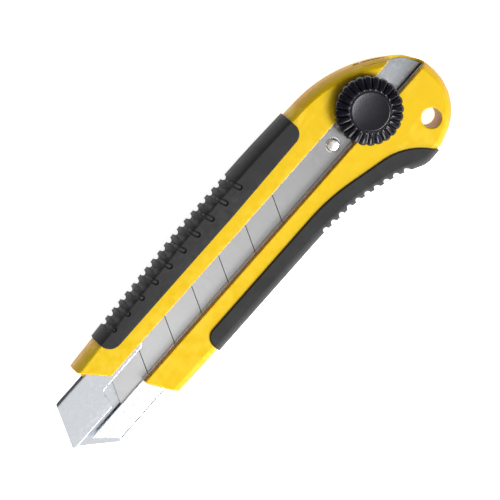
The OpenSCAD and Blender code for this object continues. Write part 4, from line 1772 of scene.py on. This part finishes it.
class Repeats:
    """Geometry Nodes trees that copy a shape, each made once."""

    @staticmethod
    def _tree(name: str, sockets: Sequence[Tuple[str, str]]) -> bpy.types.NodeTree:
        """Makes an empty tree with its named inputs.

        Args:
            name: the tree's name.
            sockets: name and socket type of each input.

        Returns:
            The new tree.
        """
        tree = bpy.data.node_groups.new(name, "GeometryNodeTree")
        tree.interface.new_socket("Geometry", in_out="INPUT", socket_type="NodeSocketGeometry")
        for label, kind in sockets:
            tree.interface.new_socket(label, in_out="INPUT", socket_type=kind)
        tree.interface.new_socket("Geometry", in_out="OUTPUT", socket_type="NodeSocketGeometry")
        return tree

    @classmethod
    def round_a_circle(cls) -> bpy.types.NodeTree:
        """Gives the tree that sets copies of a shape round an upright axis, each turned to face out.

        Returns:
            The tree, with inputs Shape, Count, Centre and Finish.
        """
        tree = cls._tree("copies_round_a_circle", [
            ("Shape", "NodeSocketObject"), ("Count", "NodeSocketInt"), ("Centre", "NodeSocketVector"),
            ("Finish", "NodeSocketMaterial")])
        t = Tree(tree)
        put, out = t.add("NodeGroupInput"), t.add("NodeGroupOutput")
        shape = t.add("GeometryNodeObjectInfo", {"transform_space": "ORIGINAL"},
                      Object=put.outputs["Shape"])
        dots = t.add("GeometryNodePoints", {}, Count=put.outputs["Count"], Position=put.outputs["Centre"])
        index = t.add("GeometryNodeInputIndex")
        step = t.math("DIVIDE", 2 * math.pi, put.outputs["Count"])
        turn = t.add("ShaderNodeCombineXYZ", {}, n2=t.math("MULTIPLY", index.outputs[0], step))
        copies = t.add("GeometryNodeInstanceOnPoints", {}, Points=dots.outputs[0],
                       Instance=shape.outputs["Geometry"], Rotation=turn.outputs[0])
        cls._finish(t, put, out, copies.outputs[0])
        return tree

    @classmethod
    def on_points(cls) -> bpy.types.NodeTree:
        """Gives the tree that sets a copy of a shape on every point of the mesh it is given.

        Returns:
            The tree, with inputs Shape, Turn, Seed and Finish.
        """
        tree = cls._tree("copies_on_points", [("Shape", "NodeSocketObject"), ("Turn", "NodeSocketFloat"),
                                              ("Seed", "NodeSocketInt"), ("Finish", "NodeSocketMaterial")])
        t = Tree(tree)
        put, out = t.add("NodeGroupInput"), t.add("NodeGroupOutput")
        shape = t.add("GeometryNodeObjectInfo", {"transform_space": "ORIGINAL"},
                      Object=put.outputs["Shape"])
        dots = t.add("GeometryNodeMeshToPoints", {}, Mesh=put.outputs["Geometry"])
        chance = t.add("FunctionNodeRandomValue", {"data_type": "FLOAT"}, Seed=put.outputs["Seed"])
        angle = t.math("MULTIPLY", chance.outputs[1], put.outputs["Turn"])
        turn = t.add("ShaderNodeCombineXYZ", {}, n2=angle)
        copies = t.add("GeometryNodeInstanceOnPoints", {}, Points=dots.outputs[0],
                       Instance=shape.outputs["Geometry"], Rotation=turn.outputs[0])
        cls._finish(t, put, out, copies.outputs[0])
        return tree

    @classmethod
    def score_lines(cls) -> bpy.types.NodeTree:
        """Gives the tree that presses slanting, evenly spaced score lines into a blade's upper face.

        Returns:
            The tree, with inputs for the lines' place, number, slant, size and finishes.
        """
        tree = cls._tree("score_lines", [
            ("First", "NodeSocketVector"), ("Pitch", "NodeSocketFloat"), ("Count", "NodeSocketInt"),
            ("Lean", "NodeSocketFloat"), ("Depth", "NodeSocketFloat"), ("Half Width", "NodeSocketFloat"),
            ("Level", "NodeSocketFloat"), ("Finish", "NodeSocketMaterial"),
            ("Groove Finish", "NodeSocketMaterial")])
        t = Tree(tree)
        put, out = t.add("NodeGroupInput"), t.add("NodeGroupOutput")
        place = t.add("GeometryNodeInputPosition")
        gap = t.add("ShaderNodeVectorMath", {"operation": "SUBTRACT"}, n0=place.outputs[0],
                    n1=put.outputs["First"])
        part = t.add("ShaderNodeSeparateXYZ", {}, n0=gap.outputs[0])
        slant = t.math("MULTIPLY", part.outputs[1], put.outputs["Lean"])
        along = t.math("SUBTRACT", part.outputs[0], slant)
        turns = t.math("DIVIDE", along, put.outputs["Pitch"])
        whole = t.math("ROUND", turns)
        inside_run = t.math("MULTIPLY", t.math("GREATER_THAN", whole, 0.5),
                            t.math("LESS_THAN", whole, t.math("ADD", put.outputs["Count"], 0.5)))
        off = t.math("MULTIPLY", t.math("ABSOLUTE", t.math("SUBTRACT", turns, whole)), put.outputs["Pitch"])
        share = t.math("SUBTRACT", 1.0, t.math("DIVIDE", off, put.outputs["Half Width"]), True)
        high = t.add("ShaderNodeSeparateXYZ", {}, n0=place.outputs[0])
        upper = t.math("GREATER_THAN", high.outputs[2], put.outputs["Level"])
        drop = t.math("MULTIPLY", t.math("MULTIPLY", share, put.outputs["Depth"]),
                      t.math("MULTIPLY", upper, inside_run))
        down = t.add("ShaderNodeCombineXYZ", {}, n2=t.math("MULTIPLY", drop, -1.0))
        scored = t.add("GeometryNodeSetPosition", {}, Geometry=put.outputs["Geometry"],
                       Offset=down.outputs[0])
        real = t.add("GeometryNodeRealizeInstances", {}, Geometry=scored.outputs[0])
        paint = t.add("GeometryNodeSetMaterial", {}, Geometry=real.outputs[0],
                      Material=put.outputs["Finish"])
        # painted shade: the pressed-down faces of the score lines take the dark groove finish
        groove = t.math("GREATER_THAN", drop, 0.00001)
        dirt = t.add("GeometryNodeSetMaterial", {}, Geometry=paint.outputs[0], Selection=groove,
                     Material=put.outputs["Groove Finish"])
        tree.links.new(dirt.outputs[0], out.inputs[0])
        return tree

    @staticmethod
    def _finish(t: Tree, put: bpy.types.Node, out: bpy.types.Node, copies: bpy.types.NodeSocket) -> None:
        """Ends a tree in Realize Instances and Set Material.

        Args:
            t: the helper of the tree.
            put: the tree's input node.
            out: the tree's output node.
            copies: the socket that carries the copies.
        """
        real = t.add("GeometryNodeRealizeInstances", {}, Geometry=copies)
        paint = t.add("GeometryNodeSetMaterial", {}, Geometry=real.outputs[0],
                      Material=put.outputs["Finish"])
        t.tree.links.new(paint.outputs[0], out.inputs[0])

    @staticmethod
    def bake(name: str, tree: bpy.types.NodeTree, base: bpy.types.Mesh,
             values: Dict[str, object]) -> bpy.types.Object:
        """Runs a tree on a mesh and keeps its result as a plain object.

        Args:
            name: the finished object's name.
            tree: the Geometry Nodes tree.
            base: the mesh that the tree is given.
            values: the tree's inputs by name.

        Returns:
            The finished object, at the origin, with no modifier.
        """
        host = place_object(name + "_host", base)
        modifier = host.modifiers.new("copies", "NODES")
        modifier.node_group = tree
        for item in tree.interface.items_tree:
            if item.in_out == "INPUT" and item.name in values:
                modifier[item.identifier] = values[item.name]
        graph = bpy.context.evaluated_depsgraph_get()
        mesh = bpy.data.meshes.new_from_object(host.evaluated_get(graph))
        bpy.data.objects.remove(host)
        mesh.name = name
        return place_object(name, mesh)


@dataclass
class TurnedParts:
    """Small turned parts that are the same in several places: screws, inserts and dowels."""

    name: str
    profile: Tuple[Tuple[float, float], ...]
    spots: Tuple[Tuple[float, float], ...]
    finish: str
    segments: int = 32
    seed: int = 3
    turn: float = 6.28

    def build(self, paints: Paints) -> bpy.types.Object:
        """Turns one part and copies it to all its places.

        Args:
            paints: the finishes.

        Returns:
            All the copies as one object.
        """
        one = lathe("turned_part", self.profile, ORIGIN, self.segments)
        points = bpy.data.meshes.new("part_points")
        points.from_pydata(to_frame(np.array([(x, y, 0.0) for x, y in self.spots])).tolist(), [], [])
        made = Repeats.bake(self.name, Repeats.on_points(), points,
                            {"Shape": one, "Turn": self.turn, "Seed": self.seed,
                             "Finish": paints[self.finish]})
        bpy.data.objects.remove(one)
        return made


@dataclass
class CoverScrews:
    """The small pan-head screws that hold the rear cover, seen from the back in their counterbores."""

    spots: Tuple[Tuple[float, float], ...] = RearCover().spots
    head_z: float = 2.1
    reach: float = 4.4

    def build(self, paints: Paints) -> bpy.types.Object:
        """Turns the screw, hollow in its head, and copies it to all its places.

        Args:
            paints: the finishes.

        Returns:
            All the screws as one object.
        """
        z, end = self.head_z, SEAM + self.reach
        profile = (
            (0.0, z + 0.75), (0.9, z + 0.75), (0.95, z + 0.1), (1.1, z), (1.35, z + 0.05), (1.62, z + 0.25),
            (1.7, z + 0.5), (1.7, z + 1.2), (1.0, z + 1.2), (1.0, end - 0.2), (0.8, end), (0.0, end),
        )
        screws = TurnedParts("cover_screw_set", profile, self.spots, "black_steel", 36, seed=7)
        return screws.build(paints)


# ---------------------------------------------------------------- lock wheel


@dataclass
class LockWheel:
    """The black fluted wheel: a dished body, ribs sloping to its rim and a smooth disc in the middle."""

    centre: Tuple[float, float] = (165.8, 0.0)
    disc: float = 7.5
    ribs: int = 24
    rib_points: int = 9
    rib_share: float = 0.88
    rib_rise: float = 1.25
    rib_start_rise: float = 0.9
    rib_round: float = 0.6
    rib_sharp: float = 50
    under_z: float = 16.4
    top_z: float = 22.0
    hub_z: float = 16.75
    seat_z: float = 20.75

    def _rib(self) -> bpy.types.Object:
        """Builds one rib lying along +X from the disc's edge over the rim.

        Returns:
            The rib, standing on the wheel's axis.
        """
        top = self.top_z
        path = [
            (7.55, top - 0.25), (7.9, top - 0.02), (8.5, top - 0.12), (9.6, top - 0.55),
            (10.8, top - 1.15), (11.9, top - 1.8), (12.55, top - 2.35), (12.9, top - 2.95),
            (13.0, top - 3.6), (13.0, 17.1), (12.75, 16.5),
        ]
        rings: List[List[int]] = []
        verts: List[Tuple[float, float, float]] = []
        n = self.rib_points
        for k, (r, z) in enumerate(path):
            before, after = path[max(k - 1, 0)], path[min(k + 1, len(path) - 1)]
            tx, tz = after[0] - before[0], after[1] - before[1]
            size = math.hypot(tx, tz)
            nx, nz = -tz / size, tx / size
            width = r * math.pi / self.ribs * self.rib_share
            rise = self.rib_rise if k > 1 else self.rib_start_rise
            row = []
            for i in range(n):
                a = math.pi * i / (n - 1)
                side = width * math.cos(a)
                low = rise * (1 - math.sin(a) ** self.rib_round)
                row.append(len(verts))
                verts.append((ORIGIN[0] + r - nx * low, ORIGIN[1] + side, z - nz * low))
            rings.append(row)
        faces = [[a[i], b[i], b[i + 1], a[i + 1]] for a, b in zip(rings, rings[1:]) for i in range(n - 1)]
        faces += [rings[0][::-1], rings[-1]]
        for k in range(len(rings) - 1):
            faces.append([rings[k][n - 1], rings[k + 1][n - 1], rings[k + 1][0], rings[k][0]])
        rib = new_object("rib", np.array(verts), faces, self.rib_sharp)
        face_out(rib)
        return rib

    def _body(self) -> bpy.types.Object:
        """Builds the dished body that carries the ribs.

        Returns:
            The body as one object.
        """
        top = self.top_z
        profile = [
            (4.0, self.hub_z), (7.2, self.hub_z), (7.2, self.under_z), (12.3, self.under_z),
            (12.5, 16.7), (12.45, 18.4), (12.1, 18.85), (11.2, 19.4), (9.8, 20.25), (8.6, 20.95),
            (8.15, 21.3), (7.95, top - 0.2), (7.75, top - 0.02), (7.6, top - 0.03),
            (self.disc, top - 0.2), (self.disc, self.seat_z), (4.8, self.seat_z), (4.8, 19.0),
            (4.0, 19.0),
        ]
        return lathe("wheel_body", profile, self.centre, 144)

    def build(self, paints: Paints) -> bpy.types.Object:
        """Builds the wheel from its body and its ribs.

        Args:
            paints: the finishes.

        Returns:
            The wheel as one object.
        """
        rib = self._rib()
        seat = to_frame(np.array([(self.centre[0], self.centre[1], 0.0)]))[0]
        seed = bpy.data.meshes.new("wheel_seed")
        ribs = Repeats.bake("wheel_ribs", Repeats.round_a_circle(), seed,
                            {"Shape": rib, "Count": self.ribs, "Centre": tuple(float(v) for v in seat),
                             "Finish": paints["wheel_plastic"]})
        bpy.data.objects.remove(rib)
        body = paints.dress(self._body(), "wheel_plastic")
        return join("fluted_wheel", [body, ribs])

    def build_disc(self) -> bpy.types.Object:
        """Builds the smooth dished disc in the middle of the wheel.

        Returns:
            The disc as one object.
        """
        r = self.disc - 0.05
        low = self.seat_z + 0.03
        profile = [
            (0.0, low), (r, low), (r, 21.6), (r - 0.12, 21.76), (r - 0.35, 21.82), (r - 0.7, 21.78),
            (r - 1.3, 21.66), (4.2, 21.5), (2.0, 21.42), (0.0, 21.4),
        ]
        return lathe("wheel_disc", profile, self.centre, 96)


@dataclass
class Workings:
    """The pieces inside the knife: their CAD shapes stay, with real finishes."""

    finishes: Tuple[Tuple[str, str], ...] = (
        ("slide_plate", "bright_steel"),
        ("lock_screw", "bright_steel"), ("guide_block", "guide_plastic"), ("detent_spring", "bright_steel"),
        ("spring_rivets", "bright_steel"), ("pressure_washer", "bright_steel"),
        ("spring_washer", "bright_steel"), ("wheel_insert", "insert_brass"), ("stop_ring", "black_steel"),
    )

    def dress(self, paints: Paints) -> None:
        """Gives every inner piece its finish.

        Args:
            paints: the finishes.
        """
        for node, finish in self.finishes:
            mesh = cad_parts[node].data
            mesh.materials.clear()
            mesh.materials.append(paints[finish])
            LOG.info("%s: CAD shape, finish %s", node, finish)


# ---------------------------------------------------------------- studio


@dataclass(frozen=True)
class SoftLight:
    """A rectangular light: its name, place, the point it faces, its two sides and its power."""

    name: str
    place: Tuple[float, float, float]
    aim: Tuple[float, float, float]
    size: Tuple[float, float]
    power: float

    def hang(self) -> None:
        """Adds the light to the scene."""
        data = bpy.data.lights.new(self.name, "AREA")
        data.shape, data.energy = "RECTANGLE", self.power
        data.size, data.size_y = self.size
        lamp = place_object(self.name, data)
        lamp.location = self.place
        lamp.rotation_euler = (Vector(self.aim) - Vector(self.place)).to_track_quat("-Z", "Y").to_euler()


@dataclass
class Studio:
    """The floor, the lights and the camera."""

    toward: Tuple[float, float, float] = (0.0068, 0.1860, 0.9825)
    right: Tuple[float, float, float] = (0.66185, -0.7374, 0.1350)
    scale: float = 2.6985
    distance: float = 1.5
    aim: Tuple[float, float, float] = (96.89, -4.55, 7.0)
    lift: float = 5.4
    sensor: float = 36.0
    across: float = 500.0
    floor_half: float = 3.0
    floor_gap: float = 0.00002
    surround: float = 0.09
    lights: Tuple[SoftLight, ...] = (
        SoftLight("ceiling", (-0.1, -0.60, 2.2), (-0.1, -0.60, 0.0), (3.4, 2.5), 15.0),
        SoftLight("strip", (-0.1, -0.72, 1.7), (0.0, 0.0, 0.0), (3.0, 0.24), 4.2),
        SoftLight("key", (0.18, -0.74, 0.92), (0.0, 0.0, 0.0), (0.6, 0.6), 22.5),
        SoftLight("edge", (-0.65, -0.65, 0.35), (0.0, 0.0, 0.0), (0.4, 0.4), 7.0),
    )

    def floor(self, paints: Paints) -> None:
        """Lays the pale floor that the knife lies on.

        Args:
            paints: the finishes.
        """
        low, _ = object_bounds()
        mesh = bpy.data.meshes.new("floor")
        s, z = self.floor_half, float(low[2]) - self.floor_gap
        mesh.from_pydata([(-s, -s, z), (s, -s, z), (s, s, z), (-s, s, z)], [], [(0, 1, 2, 3)])
        obj = paints.dress(place_object("floor", mesh), "floor_paint")
        obj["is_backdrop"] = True

    def light(self) -> None:
        """Hangs the soft lights and sets a dim white surround."""
        world = bpy.data.worlds.new("surround")
        bpy.context.scene.world = world
        world.use_nodes = True
        back = world.node_tree.nodes["Background"]
        back.inputs["Color"].default_value = (1.0, 1.0, 1.0, 1.0)
        back.inputs["Strength"].default_value = self.surround
        for lamp in self.lights:
            lamp.hang()

    def camera(self) -> None:
        """Sets the camera above the knife."""
        d = Vector(self.toward).normalized()
        r = Vector(self.right)
        r = (r - d * r.dot(d)).normalized()
        u = d.cross(r)
        aim = Vector(to_frame(np.array([self.aim]))[0])
        aim += u * self.lift / self.scale / MM_PER_M
        data = bpy.data.cameras.new("camera")
        data.sensor_width = self.sensor
        data.lens = self.sensor * self.scale * self.distance * MM_PER_M / self.across
        data.clip_start, data.clip_end = 0.05, 20.0
        cam = place_object("camera", data)
        turn = Matrix((r, u, d)).transposed().to_4x4()
        turn.translation = aim + d * self.distance
        cam.matrix_world = turn
        bpy.context.scene.camera = cam

    def build(self, paints: Paints) -> None:
        """Builds the whole studio.

        Args:
            paints: the finishes.
        """
        self.floor(paints)
        self.light()
        self.camera()
        bpy.context.scene.view_settings.view_transform = "Standard"


def main() -> None:
    """Builds the knife piece by piece and sets it in the studio."""
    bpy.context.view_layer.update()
    paints = Paints()
    paints.build()
    Handle().build(paints)
    stand_for(paints.dress(Sheath().build(), "sheath_steel"), "sheath", "handle")
    stand_for(Blade().build(paints), "blade", "carrier")
    stand_for(paints.dress(Stud().build(), "stud_steel"), "blade_stud", "carrier")
    stand_for(CoverScrews().build(paints), "cover_screws", "handle")
    wheel = LockWheel()
    stand_for(wheel.build(paints), "lock_wheel", "wheel")
    stand_for(paints.dress(wheel.build_disc(), "wheel_plastic"), "wheel_cap", "wheel")
    inserts = TurnedParts("thread_insert_set", (
        (1.02, SEAM + 0.1), (1.35, SEAM + 0.1), (1.45, SEAM + 0.3), (1.45, SEAM + 1.9), (1.3, SEAM + 2.1),
        (1.3, SEAM + 2.6), (1.45, SEAM + 2.8), (1.45, SEAM + 4.5), (1.3, SEAM + 4.7), (1.02, SEAM + 4.7),
    ), RearCover().spots, "insert_brass")
    stand_for(inserts.build(paints), "thread_inserts", "handle")
    dowels = TurnedParts("dowel_pair", (
        (0.0, SEAM), (1.3, SEAM), (1.5, SEAM + 0.2), (1.5, 7.25), (1.3, 7.44), (0.0, 7.45),
    ), ((58.0, -9.2), (TAIL - 43.0, -9.2)), "bright_steel")
    stand_for(dowels.build(paints), "sheath_dowels", "handle")
    Workings().dress(paints)
    Studio().build(paints)


if __name__ == "__main__":
    main()
